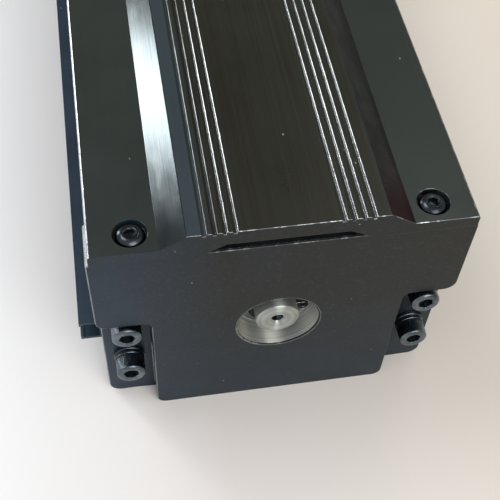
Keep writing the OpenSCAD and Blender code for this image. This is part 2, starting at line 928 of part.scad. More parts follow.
module guide_rail_left() {
    color("#b9bdc0")
        guide_rail(-1);
}

module guide_rail_right() {
    color("#b9bdc0")
        guide_rail(1);
}

module rail_screws() {
    color("#4b4e51")
        for (sx = sides)
            for (i = [0 : rail_n - 1])
                cap_screw_z(
                    m3_shank_r, m3_head_r, m3_head_h, 2.9, rail_screw_l,
                    sx * rail_x, rail_screw_y(i), wall_h + rail_h - 4.5
                );
}

module guide_block_outline() {
    difference() {
        translate([-guide_w / 2, guide_lift])
            rounded_rect(0, 0, guide_w, guide_h - guide_lift, 0.8);
        rail_outline(guide_gap);
    }
}

// A guide block's steel body, on one rail at one end of the saddle
module guide_block(sx, sy) {
    y = saddle_y + sy * guide_y;
    difference() {
        translate([sx * rail_x, 0, wall_h])
            bar_y(y - guide_l / 2, y + guide_l / 2)
                guide_block_outline();
        for (dx = sides)
            for (dy = sides)
                rod_z(
                    m3_r, deck_z - 4.5, deck_z + cut,
                    sx * rail_x + dx * guide_screw_dx / 2, y + dy * guide_screw_dy / 2
                );
    }
}

module guide_block_front_left() {
    color("#c3c6c8")
        guide_block(-1, -1);
}

module guide_block_front_right() {
    color("#c3c6c8")
        guide_block(1, -1);
}

module guide_block_rear_left() {
    color("#c3c6c8")
        guide_block(-1, 1);
}

module guide_block_rear_right() {
    color("#c3c6c8")
        guide_block(1, 1);
}

module guide_end_caps() {
    color("#1f6f4a")
        for (sx = sides)
            for (sy = sides)
                for (e = sides) {
                    y = saddle_y + sy * guide_y + e * (guide_l + cap_l) / 2;
                    translate([sx * rail_x, 0, wall_h])
                        bar_y(y - cap_l / 2, y + cap_l / 2)
                            difference() {
                                rounded_rect(
                                    -guide_w / 2 + 0.5, guide_lift + 0.2,
                                    guide_w / 2 - 0.5, guide_h - 0.4, 1.5
                                );
                                rail_outline(guide_gap);
                            }
                }
}

module guide_block_screws() {
    color("#4b4e51")
        for (sx = sides)
            for (sy = sides)
                for (dx = sides)
                    for (dy = sides)
                        cap_screw_z(
                            m3_shank_r, m3_head_r, m3_head_h, 2.9, deck_t,
                            sx * rail_x + dx * guide_screw_dx / 2,
                            saddle_y + sy * guide_y + dy * guide_screw_dy / 2, deck_top - 4
                        );
}

// ------------------------------------------------------------ bearings

// Section of a ball race ring between r0 and r1, with the race on its face
module ring_section(r0, r1, w, ball_x, ball_r) {
    difference() {
        translate([r0, -w / 2])
            square([r1 - r0, w]);
        translate([ball_x, 0])
            circle(r = ball_r);
    }
}

// Parts of a ball bearing whose middle is at y
module bearing_ring(y, r0, r1, w, ball_x, ball_r) {
    translate([0, y, axis_z])
        rotate([90, 0, 0])
            rotate_extrude()
                ring_section(r0, r1, w, ball_x, ball_r);
}

module bearing_balls(y, pitch_r, ball_r, n) {
    translate([0, y, axis_z])
        rotate([90, 0, 0]) {
            for (i = [0 : n - 1])
                rotate(i * 360 / n)
                    translate([pitch_r, 0, 0])
                        sphere(r = ball_r, $fn = 24);
            difference() {
                rotate_extrude()
                    translate([pitch_r - 0.6, -1])
                        square([1.2, 2]);
                for (i = [0 : n - 1])
                    rotate(i * 360 / n)
                        translate([pitch_r, 0, 0])
                            sphere(r = ball_r - 0.1, $fn = 24);
            }
        }
}

front_pitch_r = (journal_r + front_bearing_r) / 2;
front_ball_r = front_pitch_r - journal_r - front_ring_t + race_depth - ball_gap;
rear_pitch_r = (journal_r + rear_bearing_r) / 2;
rear_ball_r = rear_pitch_r - journal_r - rear_ring_t + race_depth - ball_gap;
front_mid_y = front_bearing_y + front_bearing_w / 2;
rear_mid_y = [rear_bearing_y + rear_bearing_w / 2, rear_bearing_y + rear_bearing_w * 1.5];

module front_bearing_outer_ring() {
    color("#c9ccce")
        bearing_ring(
            front_mid_y, front_bearing_r - front_ring_t, front_bearing_r - seat_gap,
            front_bearing_w, front_pitch_r, front_ball_r + ball_gap
        );
}

module front_bearing_shields() {
    color("#8d9092")
        for (e = sides) {
            y = front_mid_y + e * (front_bearing_w / 2 - shield_inset - shield_t / 2);
            ring_y(
                front_bearing_r - front_ring_t, journal_r + front_ring_t + shield_gap,
                y - shield_t / 2, y + shield_t / 2
            );
        }
}

module front_bearing_balls() {
    color("#d8dadb")
        bearing_balls(front_mid_y, front_pitch_r, front_ball_r, front_ball_n);
}

module front_bearing_inner_ring() {
    color("#c9ccce")
        bearing_ring(
            front_mid_y, journal_r + seat_gap, journal_r + front_ring_t,
            front_bearing_w, front_pitch_r, front_ball_r + ball_gap
        );
}

module rear_bearing_outer_rings() {
    color("#c9ccce")
        for (y = rear_mid_y)
            bearing_ring(
                y, rear_bearing_r - rear_ring_t, rear_bearing_r - seat_gap,
                rear_bearing_w, rear_pitch_r, rear_ball_r + ball_gap
            );
}

module rear_bearing_balls() {
    color("#d8dadb")
        for (y = rear_mid_y)
            bearing_balls(y, rear_pitch_r, rear_ball_r, rear_ball_n);
}

module rear_bearing_inner_rings() {
    color("#c9ccce")
        for (y = rear_mid_y)
            bearing_ring(
                y, journal_r + seat_gap, journal_r + rear_ring_t,
                rear_bearing_w, rear_pitch_r, rear_ball_r + ball_gap
            );
}

module bearing_cover() {
    color("#3a3d40")
        difference() {
            union() {
                rod_y(rear_bearing_r - seat_gap, rear_stack_y, rear_y + cut);
                rod_y(bearing_cover_r, rear_y, rear_y + bearing_cover_t);
            }
            rod_y(
                bearing_cover_hole_r, rear_stack_y - cut, rear_y + bearing_cover_t + cut
            );
            for (a = [45 : 90 : 315])
                rod_y(
                    m4_hole_r, rear_y - cut, rear_y + bearing_cover_t + cut,
                    bearing_cover_pcr * cos(a), axis_z + bearing_cover_pcr * sin(a)
                );
        }
}

module bearing_cover_screws() {
    color("#4b4e51")
        for (a = [45 : 90 : 315])
            cap_screw_y(
                m4_shank_r, m4_head_r, m4_head_h, 3.4, bearing_cover_t + bearing_cover_grip,
                bearing_cover_pcr * cos(a), rear_y + bearing_cover_t,
                axis_z + bearing_cover_pcr * sin(a), 1
            );
}

// ---------------------------------------------------------- ball screw

module screw_shaft() {
    color("#c4c7c9")
        difference() {
            union() {
                rod_y(journal_r, shaft_front + shaft_bevel, front_shoulder_y + cut);
                cone_y(
                    journal_r - shaft_bevel, journal_r,
                    shaft_front, shaft_front + shaft_bevel
                );
                rod_y(screw_r, front_shoulder_y, rear_bearing_y);
                rod_y(journal_r, rear_bearing_y - cut, lock_nut_y);
                rod_y(drive_r, lock_nut_y - cut, shaft_rear - shaft_bevel);
                cone_y(drive_r, drive_r - shaft_bevel, shaft_rear - shaft_bevel, shaft_rear);
            }
            // circlip groove just in front of the bearing
            ring_y(
                journal_r + cut, journal_r - circlip_groove,
                front_bearing_y - circlip_t - seat_gap * 2, front_bearing_y
            );
            rod_y(centre_r, shaft_front - cut, shaft_front + 4);
            cone_y(centre_r + 0.8, centre_r, shaft_front - 0.01, shaft_front + 0.8);
            rod_y(centre_r, shaft_rear - 4, shaft_rear + cut);
        }
}

module front_circlip() {
    y1 = front_bearing_y - seat_gap;
    y0 = y1 - circlip_t;
    ear_x = circlip_r + ear_r * 0.45;
    color("#3b3c3d")
        difference() {
            union() {
                rod_y(circlip_r, y0, y1);
                for (s = sides)
                    rod_y(
                        ear_r, y0, y1,
                        ear_x * cos(s * ear_angle), axis_z + ear_x * sin(s * ear_angle)
                    );
            }
            rod_y(journal_r - circlip_groove + seat_gap, y0 - cut, y1 + cut);
            translate([0, y0 - cut, axis_z - 0.6])
                cube([circlip_r * 2, circlip_t + 2 * cut, 1.2]);
            for (s = sides)
                rod_y(
                    ear_hole_r, y0 - cut, y1 + cut,
                    ear_x * cos(s * ear_angle), axis_z + ear_x * sin(s * ear_angle)
                );
        }
}

module bearing_spacer() {
    color("#b0b3b5")
        ring_y(spacer_r, journal_r + seat_gap, rear_stack_y, spacer_y);
}

module lock_nut() {
    color("#5b5f62")
        difference() {
            ring_y(lock_nut_r, journal_r + seat_gap, spacer_y, lock_nut_y);
            for (a = [0 : 90 : 270])
                translate([0, spacer_y + lock_nut_w / 2, axis_z])
                    rotate([0, a, 0])
                        translate([lock_nut_r - 1.8, 0, -2])
                            cube([4, lock_nut_w, 4]);
        }
}

// ------------------------------------------------------------- coupling

// Outline of the space between one hub's jaws
module jaw_space_outline() {
    circle(r = spider_hole_r + 1.5);
    for (i = [0 : jaw_count - 1])
        rotate((i + 0.5) * jaw_turn)
            polygon([
                [0, 0],
                [2 * coupling_r * cos(jaw_space_half), -2 * coupling_r * sin(jaw_space_half)],
                [2 * coupling_r * cos(jaw_space_half), 2 * coupling_r * sin(jaw_space_half)]
            ]);
}

// A clamping hub from y0, its jaws on the dir side
module hub(y0, bore_r, dir) {
    y1 = y0 + hub_l;
    y_clamp = (y0 + y1) / 2;
    difference() {
        rod_y(coupling_r, dir > 0 ? y0 : y0 - jaw_l, dir > 0 ? y1 + jaw_l : y1);
        translate([0, 0, axis_z])
            bar_y(dir > 0 ? y1 : y0 - jaw_l - cut, dir > 0 ? y1 + jaw_l + cut : y0)
                rotate(dir > 0 ? jaw_turn / 4 : jaw_turn * 3 / 4)
                    jaw_space_outline();
        rod_y(bore_r, y0 - cut, y1 + cut);
        // slit that lets the clamp screw close the bore
        translate([0, y0 - cut, axis_z - slit_w / 2])
            cube([coupling_r + cut, hub_l + 2 * cut, slit_w]);
        translate([coupling_r - clamp_screw_in, y_clamp, axis_z - coupling_r - cut])
            cylinder(r = m3_hole_r, h = 2 * coupling_r);
        translate([coupling_r - clamp_screw_in, y_clamp, axis_z + clamp_seat])
            cylinder(r = m3_head_r + head_gap / 2, h = coupling_r);
    }
}

module coupling_hub_screw_side() {
    color("#b7babc")
        hub(hub_y, drive_r + seat_gap, 1);
}

module coupling_hub_motor_side() {
    color("#b7babc")
        hub(motor_hub_y, motor_shaft_r, -1);
}

module coupling_spider() {
    color("#b3261e")
        translate([0, 0, axis_z])
            bar_y(shaft_rear + 1, motor_hub_y - 1)
                difference() {
                    union() {
                        circle(r = spider_hole_r + 1.5 - jaw_gap);
                        for (i = [0 : 2 * jaw_count - 1])
                            rotate(i * jaw_turn / 2)
                                intersection() {
                                    difference() {
                                        circle(r = coupling_r);
                                        circle(r = spider_hole_r + 1);
                                    }
                                    polygon([
                                        [0, 0],
                                        [2 * coupling_r * cos(arm_half), -2 * coupling_r * sin(arm_half)],
                                        [2 * coupling_r * cos(arm_half), 2 * coupling_r * sin(arm_half)]
                                    ]);
                                }
                    }
                    circle(r = spider_hole_r);
                }
}

module coupling_clamp_screws() {
    color("#4b4e51")
        for (y = [hub_y + hub_l / 2, motor_hub_y + hub_l / 2])
            cap_screw_z(
                m3_shank_r, m3_head_r, m3_head_h, 2.9, 12,
                coupling_r - clamp_screw_in, y, axis_z + clamp_seat
            );
}

// -------------------------------------------------------- motor housing

module motor_housing() {
    color("#333639")
        difference() {
            translate([0, 0, axis_z])
                bar_y(rear_y, motor_y)
                    rounded_rect(
                        -housing_w / 2, -housing_w / 2, housing_w / 2, housing_w / 2,
                        housing_corner_r
                    );
            rod_y(cavity_r, rear_y - cut, motor_y - motor_wall);
            rod_y(pilot_r, rear_y, motor_y + cut);
            for (a = [45 : 90 : 315])
                rod_y(
                    motor_hole_r, motor_y - motor_hole_depth, motor_y + cut,
                    motor_pcr * cos(a), axis_z + motor_pcr * sin(a)
                );
            for (sx = sides)
                for (sz = sides) {
                    rod_y(
                        m6_hole_r, rear_y - cut, motor_y + cut,
                        sx * corner_screw, axis_z + sz * corner_screw
                    );
                    rod_y(
                        m6_head_r + head_gap, motor_y - m6_head_h - 1, motor_y + cut,
                        sx * corner_screw, axis_z + sz * corner_screw
                    );
                }
            translate([-window_w / 2, rear_y + window_y - window_l / 2, axis_z])
                cube([window_w, window_l, housing_w]);
            for (sy = sides)
                rod_z(
                    m3_r, axis_z + housing_w / 2 - 8, axis_z + housing_w / 2 + cut,
                    0, access_screw_y(sy)
                );
        }
}

function access_screw_y(sy) = rear_y + window_y + sy * (window_l / 2 + access_lap / 2);

module motor_housing_screws() {
    color("#54585b")
        for (sx = sides)
            for (sz = sides)
                cap_screw_y(
                    m6_shank_r, m6_head_r, m6_head_h, m6_hex, housing_l - m6_head_h - 1 + 12,
                    sx * corner_screw, motor_y - m6_head_h - 1,
                    axis_z + sz * corner_screw, 1
                );
}

module access_cover() {
    z = axis_z + housing_w / 2;
    color("#8f9497")
        difference() {
            translate([
                -window_w / 2 - access_lap, rear_y + window_y - window_l / 2 - access_lap, z
            ])
                linear_extrude(access_t)
                    rounded_rect(
                        0, 0, window_w + 2 * access_lap, window_l + 2 * access_lap, 2
                    );
            for (sy = sides)
                rod_z(m3_hole_r, z - cut, z + access_t + cut, 0, access_screw_y(sy));
        }
}

module access_cover_screws() {
    color("#4b4e51")
        for (sy = sides)
            cap_screw_z(
                m3_shank_r, m3_head_r, 1.8, 1.9, 6,
                0, access_screw_y(sy), axis_z + housing_w / 2 + access_t
            );
}

// ----------------------------------------------------------- sensor rail

// Section of the sensor rail: a channel that is open between two lips
module sensor_outline() {
    difference() {
        square([sensor_depth, sensor_h]);
        translate([sensor_wall, sensor_wall])
            square([sensor_depth - 2 * sensor_wall, sensor_h - 2 * sensor_wall]);
        translate([sensor_depth - sensor_wall - cut, (sensor_h - sensor_slot) / 2])
            square([sensor_wall + 2 * cut, sensor_slot]);
    }
}

function sensor_screw_y(i) = sensor_y0 + sensor_l / 2 + i * sensor_pitch;

module sensor_rail() {
    color("#3a3f44")
        difference() {
            translate([-base_w / 2, 0, sensor_z0])
                bar_y(sensor_y0, sensor_y0 + sensor_l)
                    mirror([1, 0])
                        sensor_outline();
            for (i = [-1 : 1])
                translate([-base_w / 2 - sensor_wall - 1, sensor_screw_y(i), slot_z])
                    rotate([0, 90, 0])
                        cylinder(r = 1.3, h = sensor_wall + 2);
        }
}

module sensor_rail_nuts() {
    color("#8a8d90")
        for (i = [-1 : 1])
            difference() {
                translate([
                    -base_w / 2 + slot_lip, sensor_screw_y(i) - 4, slot_z - slot_h / 2 + 0.5
                ])
                    cube([slot_depth - slot_lip - 0.3, 8, slot_h - 1]);
                translate([-base_w / 2, sensor_screw_y(i), slot_z])
                    rotate([0, 90, 0])
                        cylinder(r = 1, h = 8);
            }
}

module sensor_rail_screws() {
    color("#4b4e51")
        for (i = [-1 : 1])
            translate([-base_w / 2 - sensor_wall, sensor_screw_y(i), slot_z])
                rotate([0, 90, 0])
                    difference() {
                        union() {
                            cylinder(r = 1 - thread_gap, h = sensor_wall + slot_depth - 0.5);
                            translate([0, 0, -1])
                                cylinder(r = 1.9, h = 1);
                        }
                        translate([0, 0, -2])
                            cylinder(r = 0.7, h = 1.6, $fn = 6);
                    }
}

// -------------------------------------------------------------- bumpers

module bumpers() {
    color("#1b1b1b")
        for (sx = sides)
            for (sy = sides) {
                y = sy * half_l;
                rod_y(
                    bumper_r, min(y, y - sy * bumper_l), max(y, y - sy * bumper_l),
                    sx * bumper_x, bumper_z
                );
                rod_y(
                    bumper_stem_r - thread_gap, min(y - sy * cut, y + sy * (bumper_stem_l - 0.5)),
                    max(y - sy * cut, y + sy * (bumper_stem_l - 0.5)), sx * bumper_x, bumper_z
                );
            }
}

// ------------------------------------------------------------- carriage

module saddle_outline() {
    z0 = axis_z - nut_r - housing_wall;
    polygon([
        [-housing_x + housing_bevel, z0], [housing_x - housing_bevel, z0],
        [housing_x, z0 + housing_bevel], [housing_x, deck_z + cut],
        [-housing_x, deck_z + cut], [-housing_x, z0 + housing_bevel]
    ]);
    translate([-deck_x, deck_z])
        square([2 * deck_x, deck_t]);
    for (s = sides)
        corner_fill(s * housing_x, deck_z, saddle_fillet, s, -1);
}

module carriage_saddle() {
    color("#9ea2a5")
        difference() {
            bar_y(saddle_y0, saddle_y1)
                saddle_outline();
            rod_y(nut_r + seat_gap, saddle_y0 - cut, saddle_y0 + nut_l + 4);
            rod_y(screw_r + 4, saddle_y0, saddle_y1 + cut);
            for (a = nut_angles)
                rod_y(
                    m5_r, saddle_y0 - cut, saddle_y0 + 15,
                    nut_screw_pcr * cos(a), axis_z + nut_screw_pcr * sin(a)
                );
            for (sx = sides)
                for (sy = sides)
                    for (dx = sides)
                        for (dy = sides) {
                            x = sx * rail_x + dx * guide_screw_dx / 2;
                            y = saddle_y + sy * guide_y + dy * guide_screw_dy / 2;
                            rod_z(m3_hole_r, deck_z - cut, deck_top + cut, x, y);
                            rod_z(m3_head_r + 0.3, deck_top - 4, deck_top + cut, x, y);
                        }
            for (sx = sides)
                for (i = [-1 : 1])
                    rod_z(
                        m4_r, deck_top - 11, deck_top + cut,
                        sx * (riser_x + riser_w / 2), saddle_y + i * table_screw_pitch
                    );
        }
}

module riser(side) {
    x0 = side > 0 ? riser_x : -riser_x - riser_w;
    difference() {
        translate([x0, saddle_y - riser_l / 2, deck_top])
            cube([riser_w, riser_l, table_z - deck_top]);
        for (i = [-1 : 1])
            rod_z(
                m4_hole_r, deck_top - cut, table_z + cut,
                side * (riser_x + riser_w / 2), saddle_y + i * table_screw_pitch
            );
    }
}

module left_riser() {
    color("#33363a")
        riser(-1);
}

module right_riser() {
    color("#33363a")
        riser(1);
}

module carriage_table() {
    color("#33363a")
        difference() {
            translate([0, saddle_y, table_z])
                table_body();
            for (sx = sides)
                for (sy = sides)
                    rod_z(
                        m6_r, table_z - cut, table_top + cut,
                        sx * table_dx / 2, saddle_y + sy * table_dy / 2
                    );
            for (sx = sides)
                for (i = [-1 : 1]) {
                    x = sx * (riser_x + riser_w / 2);
                    y = saddle_y + i * table_screw_pitch;
                    rod_z(m4_hole_r, table_z - cut, table_top + cut, x, y);
                    rod_z(m4_head_r + 0.2, table_seat, table_top + cut, x, y);
                }
        }
}

// The table's plate with a bevel round its top
module table_body() {
    difference() {
        translate([-deck_x, -table_l / 2, 0])
            cube([2 * deck_x, table_l, table_t]);
        for (s = sides) {
            translate([s * deck_x, 0, table_t])
                rotate([0, 45, 0])
                    cube(
                        [table_bevel * sqrt(2), table_l + cut, table_bevel * sqrt(2)],
                        center = true
                    );
            translate([0, s * table_l / 2, table_t])
                rotate([45, 0, 0])
                    cube(
                        [2 * deck_x + cut, table_bevel * sqrt(2), table_bevel * sqrt(2)],
                        center = true
                    );
        }
    }
}

module table_screws() {
    color("#4b4e51")
        for (sx = sides)
            for (i = [-1 : 1])
                cap_screw_z(
                    m4_shank_r, m4_head_r, m4_head_h, 3.4, table_seat - deck_top + 10,
                    sx * (riser_x + riser_w / 2), saddle_y + i * table_screw_pitch, table_seat
                );
}

module ball_nut() {
    y_front = saddle_y0 - nut_flange_t;
    y_rear = saddle_y0 + nut_l;
    color("#aeb2b5")
        difference() {
            union() {
                rod_y(nut_r, saddle_y0 - cut, y_rear);
                intersection() {
                    rod_y(nut_flange_r, y_front, saddle_y0);
                    translate([-nut_flange_r, y_front - cut, axis_z - nut_flat])
                        cube([2 * nut_flange_r, nut_flange_t + 2 * cut, 2 * nut_flat]);
                }
            }
            rod_y(screw_r + nut_gap, y_front - cut, y_rear + cut);
            rod_y(wiper_r, y_front - cut, y_front + wiper_w);
            rod_y(wiper_r, y_rear - wiper_w, y_rear + cut);
            for (a = nut_angles)
                rod_y(
                    m5_hole_r, y_front - cut, saddle_y0 + cut,
                    nut_screw_pcr * cos(a), axis_z + nut_screw_pcr * sin(a)
                );
        }
}

module ball_nut_screws() {
    color("#4b4e51")
        for (a = nut_angles)
            cap_screw_y(
                m5_shank_r, m5_head_r, m5_head_h, 4.6, nut_flange_t + 12,
                nut_screw_pcr * cos(a), saddle_y0 - nut_flange_t,
                axis_z + nut_screw_pcr * sin(a), -1
            );
}

module nut_wipers() {
    y_front = saddle_y0 - nut_flange_t;
    y_rear = saddle_y0 + nut_l;
    color("#e6e2d6") {
        ring_y(wiper_r - seat_gap, screw_r + nut_gap, y_front, y_front + wiper_w);
        ring_y(wiper_r - seat_gap, screw_r + nut_gap, y_rear - wiper_w, y_rear);
    }
}

base_profile();
front_block();
rear_block();
top_cover();
cover_screws();
front_block_screws();
front_spring_washers();
front_flat_washers();
rear_block_screws();
rear_spring_washers();
rear_flat_washers();
guide_rail_left();
guide_rail_right();
rail_screws();
front_bearing_outer_ring();
front_bearing_shields();
front_bearing_balls();
rear_bearing_outer_rings();
rear_bearing_balls();
bearing_cover();
bearing_cover_screws();
motor_housing();
motor_housing_screws();
access_cover();
access_cover_screws();
sensor_rail();
sensor_rail_nuts();
sensor_rail_screws();
bumpers();
carriage_saddle();
left_riser();
right_riser();
carriage_table();
table_screws();
guide_block_front_left();
guide_block_front_right();
guide_block_rear_left();
guide_block_rear_right();
guide_end_caps();
guide_block_screws();
ball_nut();
ball_nut_screws();
nut_wipers();
screw_shaft();
front_circlip();
front_bearing_inner_ring();
rear_bearing_inner_rings();
bearing_spacer();
lock_nut();
coupling_hub_screw_side();
coupling_hub_motor_side();
coupling_spider();
coupling_clamp_screws();
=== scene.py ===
"""Looks of the ball screw linear module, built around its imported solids."""
import json
import math

import bmesh
import bpy
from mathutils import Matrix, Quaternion, Vector

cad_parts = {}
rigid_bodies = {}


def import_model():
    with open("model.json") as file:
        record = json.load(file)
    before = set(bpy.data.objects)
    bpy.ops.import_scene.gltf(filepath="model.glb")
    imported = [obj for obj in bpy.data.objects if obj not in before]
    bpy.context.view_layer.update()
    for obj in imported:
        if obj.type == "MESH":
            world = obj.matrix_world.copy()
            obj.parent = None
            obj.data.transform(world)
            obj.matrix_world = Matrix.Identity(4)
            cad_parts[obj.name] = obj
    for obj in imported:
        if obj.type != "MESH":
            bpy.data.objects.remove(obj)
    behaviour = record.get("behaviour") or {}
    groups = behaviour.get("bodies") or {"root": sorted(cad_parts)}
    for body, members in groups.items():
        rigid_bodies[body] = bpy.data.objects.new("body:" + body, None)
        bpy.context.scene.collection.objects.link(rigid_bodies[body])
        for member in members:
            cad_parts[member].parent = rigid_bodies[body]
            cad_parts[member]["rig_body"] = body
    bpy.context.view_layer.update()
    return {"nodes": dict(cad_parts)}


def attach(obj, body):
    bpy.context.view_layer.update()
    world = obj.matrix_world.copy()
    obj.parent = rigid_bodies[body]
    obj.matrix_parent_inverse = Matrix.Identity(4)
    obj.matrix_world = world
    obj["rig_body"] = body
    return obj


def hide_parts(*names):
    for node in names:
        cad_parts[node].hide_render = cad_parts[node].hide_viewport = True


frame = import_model()
MM = 0.001
SCREW_Z = 47 * MM  # height of the screw's axis
WELD = 1e-6        # points closer than this are one


# ---------------------------------------------------------------- helpers

def linear(hex_colour):
    """An sRGB hex colour as the linear values, with alpha, that Blender's sockets take."""
    channels = [int(hex_colour[i:i + 2], 16) / 255 for i in (1, 3, 5)]
    return [c / 12.92 if c <= 0.04045 else ((c + 0.055) / 1.055) ** 2.4 for c in channels] + [1.0]


def add(tree, kind, links=None, **settings):
    """Adds a node; links maps its inputs to values or to other nodes' sockets."""
    made = tree.nodes.new(kind)
    for key, value in settings.items():
        setattr(made, key, value)
    for key, value in (links or {}).items():
        if isinstance(value, bpy.types.NodeSocket):
            tree.links.new(value, made.inputs[key])
        else:
            made.inputs[key].default_value = value
    return made


def per_mm(size):
    """Texture scale, in metres, of a pattern whose features are size mm across."""
    return 1000 / size


def object_point(tree, scale=(1, 1, 1)):
    """Object coordinates stretched by scale."""
    source = add(tree, "ShaderNodeTexCoord").outputs["Object"]
    return add(tree, "ShaderNodeMapping", {"Vector": source, "Scale": scale}).outputs[0]


def split(tree, point):
    """The X, Y and Z of a point."""
    return add(tree, "ShaderNodeSeparateXYZ", {0: point}).outputs


def noise(tree, point, scale=1.0, detail=3.0, roughness=0.55):
    """A cloudy pattern from 0 to 1 that stays mostly near 0.5."""
    made = add(tree, "ShaderNodeTexNoise", {
        "Vector": point, "Scale": scale, "Detail": detail, "Roughness": roughness})
    return made.outputs["Fac"]


def remap(tree, value, low, high, to_low=0.0, to_high=1.0):
    """Maps low to high onto to_low to to_high, and holds the ends. low may be the larger."""
    made = add(tree, "ShaderNodeMapRange", {
        "Value": value, "From Min": low, "From Max": high, "To Min": to_low, "To Max": to_high})
    return made.outputs[0]


def product(tree, first, second):
    """Two values multiplied."""
    return add(tree, "ShaderNodeMath", {0: first, 1: second}, operation="MULTIPLY").outputs[0]


def mix_colour(tree, factor, first, second):
    """The first colour at factor 0 and the second at factor 1."""
    # The node lists a factor, and an A and a B, for each of its data types.
    return add(tree, "ShaderNodeMix", {0: factor, 6: first, 7: second}, data_type="RGBA").outputs[2]


def new_material(name):
    """A material with an empty tree but for its surface shader and output."""
    material = bpy.data.materials.new(name)
    material.use_nodes = True
    tree = material.node_tree
    tree.nodes.clear()
    shader = add(tree, "ShaderNodeBsdfPrincipled")
    output = add(tree, "ShaderNodeOutputMaterial")
    tree.links.new(shader.outputs[0], output.inputs["Surface"])
    return material, tree, shader


def surface(tree, shader, colour, roughness, metallic=0.0):
    """Links a colour and a roughness, and sets whether the surface is bare metal."""
    tree.links.new(colour, shader.inputs["Base Color"])
    tree.links.new(roughness, shader.inputs["Roughness"])
    shader.inputs["Metallic"].default_value = metallic


def relief(tree, shader, height, depth_mm, strength=1.0):
    """Roughens the surface by a pattern that is depth_mm deep from 0 to 1."""
    bump = add(tree, "ShaderNodeBump", {
        "Height": height, "Distance": depth_mm * MM, "Strength": strength})
    tree.links.new(bump.outputs[0], shader.inputs["Normal"])


def specks(tree, point):
    """Dust and nicks: short uneven marks, thick in some places and missing in others."""
    bent = add(tree, "ShaderNodeTexNoise", {"Vector": point, "Scale": per_mm(1.5)})
    shifted = add(tree, "ShaderNodeMix", {0: 0.0012, 4: point, 5: bent.outputs["Color"]},
                  data_type="VECTOR")
    turned = add(tree, "ShaderNodeMapping", {
        "Vector": shifted.outputs[1], "Rotation": (0.3, 0.2, 0.6), "Scale": (1.0, 0.4, 1.0)})
    dots = add(tree, "ShaderNodeTexVoronoi", {
        "Vector": turned.outputs[0], "Scale": per_mm(5)}, feature="F1")
    dot = remap(tree, dots.outputs["Distance"], 0.06, 0.035)
    place = remap(tree, noise(tree, point, per_mm(14), 2.0), 0.46, 0.6)
    return product(tree, dot, place)


# -------------------------------------------------------------- materials

def anodised_block(name, base, worn, olive=None):
    """Black anodised aluminium, milled and bead blasted.

    The blasting breaks every reflection into a soft satin, and handling
    leaves paler rubbed patches and specks of dust. Where an olive is given,
    the colour turns from blue-black on the left and low down to olive on
    the right and towards the top: painted light, a cool cast standing for
    the light off the pale floor on the left.
    """
    material, tree, shader = new_material(name)
    point = object_point(tree)
    grit = noise(tree, point, per_mm(0.5), 2.0)
    cloud = noise(tree, point, per_mm(26), 4.0, 0.6)
    powder = noise(tree, point, per_mm(1.1), 4.0, 0.75)
    tone_and_painted_light = linear(base)
    if olive:
        # Painted light: blue-black on the left and low down stands for cool light off the pale
        # floor, turning olive to the right and towards the top.
        x, _, z = split(tree, point)
        painted_light_to_right = remap(tree, x, -52 * MM, -18 * MM)
        painted_light_to_top = remap(tree, z, 8 * MM, 60 * MM, 0.35, 1.0)
        tone_and_painted_light = mix_colour(tree, product(tree, painted_light_to_right, painted_light_to_top), tone_and_painted_light, linear(olive))
    colour = mix_colour(tree, remap(tree, cloud, 0.35, 0.7, 0.0, 0.6), tone_and_painted_light, linear(worn))
    colour = mix_colour(tree, remap(tree, powder, 0.52, 0.72, 0.0, 0.3), colour, linear("#4a4e50"))
    colour = mix_colour(tree, specks(tree, point), colour, linear("#9a9ea3"))
    surface(tree, shader, colour, remap(tree, cloud, 0.3, 0.7, 0.34, 0.5))
    shader.inputs["IOR"].default_value = 1.34
    relief(tree, shader, grit, 0.02, 0.5)
    return material


def extruded_cover(name):
    """Black anodised aluminium extrusion.

    The die leaves fine lines along the length. The crown has an olive cast,
    and the strip left of its grooves a blue one.
    """
    material, tree, shader = new_material(name)
    point = object_point(tree)
    streak = noise(tree, object_point(tree, (per_mm(0.7), per_mm(90), per_mm(0.7))), 1.0, 3.0)
    cloud = noise(tree, point, per_mm(30), 4.0, 0.6)
    x = split(tree, point)[0]
    aside = add(tree, "ShaderNodeMath", {0: x}, operation="ABSOLUTE").outputs[0]
    crown = remap(tree, aside, 34 * MM, 29 * MM)
    strip = product(tree, remap(tree, x, -23 * MM, -27 * MM, 0.0, 0.75),
                    remap(tree, x, -33 * MM, -31 * MM))
    colour = mix_colour(tree, crown, linear("#252b28"), linear("#1b180d"))
    colour = mix_colour(tree, strip, colour, linear("#34424a"))
    colour = mix_colour(tree, remap(tree, streak, 0.3, 0.8, 0.0, 0.4), colour, linear("#30342f"))
    colour = mix_colour(tree, specks(tree, point), colour, linear("#9b9c94"))
    surface(tree, shader, colour, remap(tree, cloud, 0.3, 0.7, 0.26, 0.4))
    shader.inputs["IOR"].default_value = 1.45
    relief(tree, shader, streak, 0.015, 0.4)
    return material


def polished_anodised(name):
    """Anodised aluminium over diamond-cut faces: a dark mirror with fine lengthwise lines.

    Towards the sawn front end the colour darkens: painted shade that dims
    the reflections there.
    """
    material, tree, shader = new_material(name)
    streak = noise(tree, object_point(tree, (per_mm(0.5), per_mm(80), per_mm(0.5))), 1.0, 3.0, 0.6)
    smear = noise(tree, object_point(tree, (per_mm(7), per_mm(18), per_mm(7))), 1.0, 4.0, 0.6)
    colour = mix_colour(tree, remap(tree, streak, 0.3, 0.7), linear("#50565a"), linear("#5f6569"))
    colour = mix_colour(tree, remap(tree, smear, 0.5, 0.75, 0.0, 0.5), colour, linear("#767e80"))
    # Painted shade: darker from y -184 mm to -201 mm, near the front end, dimming the reflections
    # there.
    painted_shade_to_front = remap(tree, split(tree, object_point(tree))[1], -184 * MM, -201 * MM)
    colour = mix_colour(tree, painted_shade_to_front, colour, linear("#3c4146"))
    surface(tree, shader, colour, remap(tree, smear, 0.3, 0.7, 0.14, 0.22), 1.0)
    relief(tree, shader, streak, 0.004, 0.5)
    return material


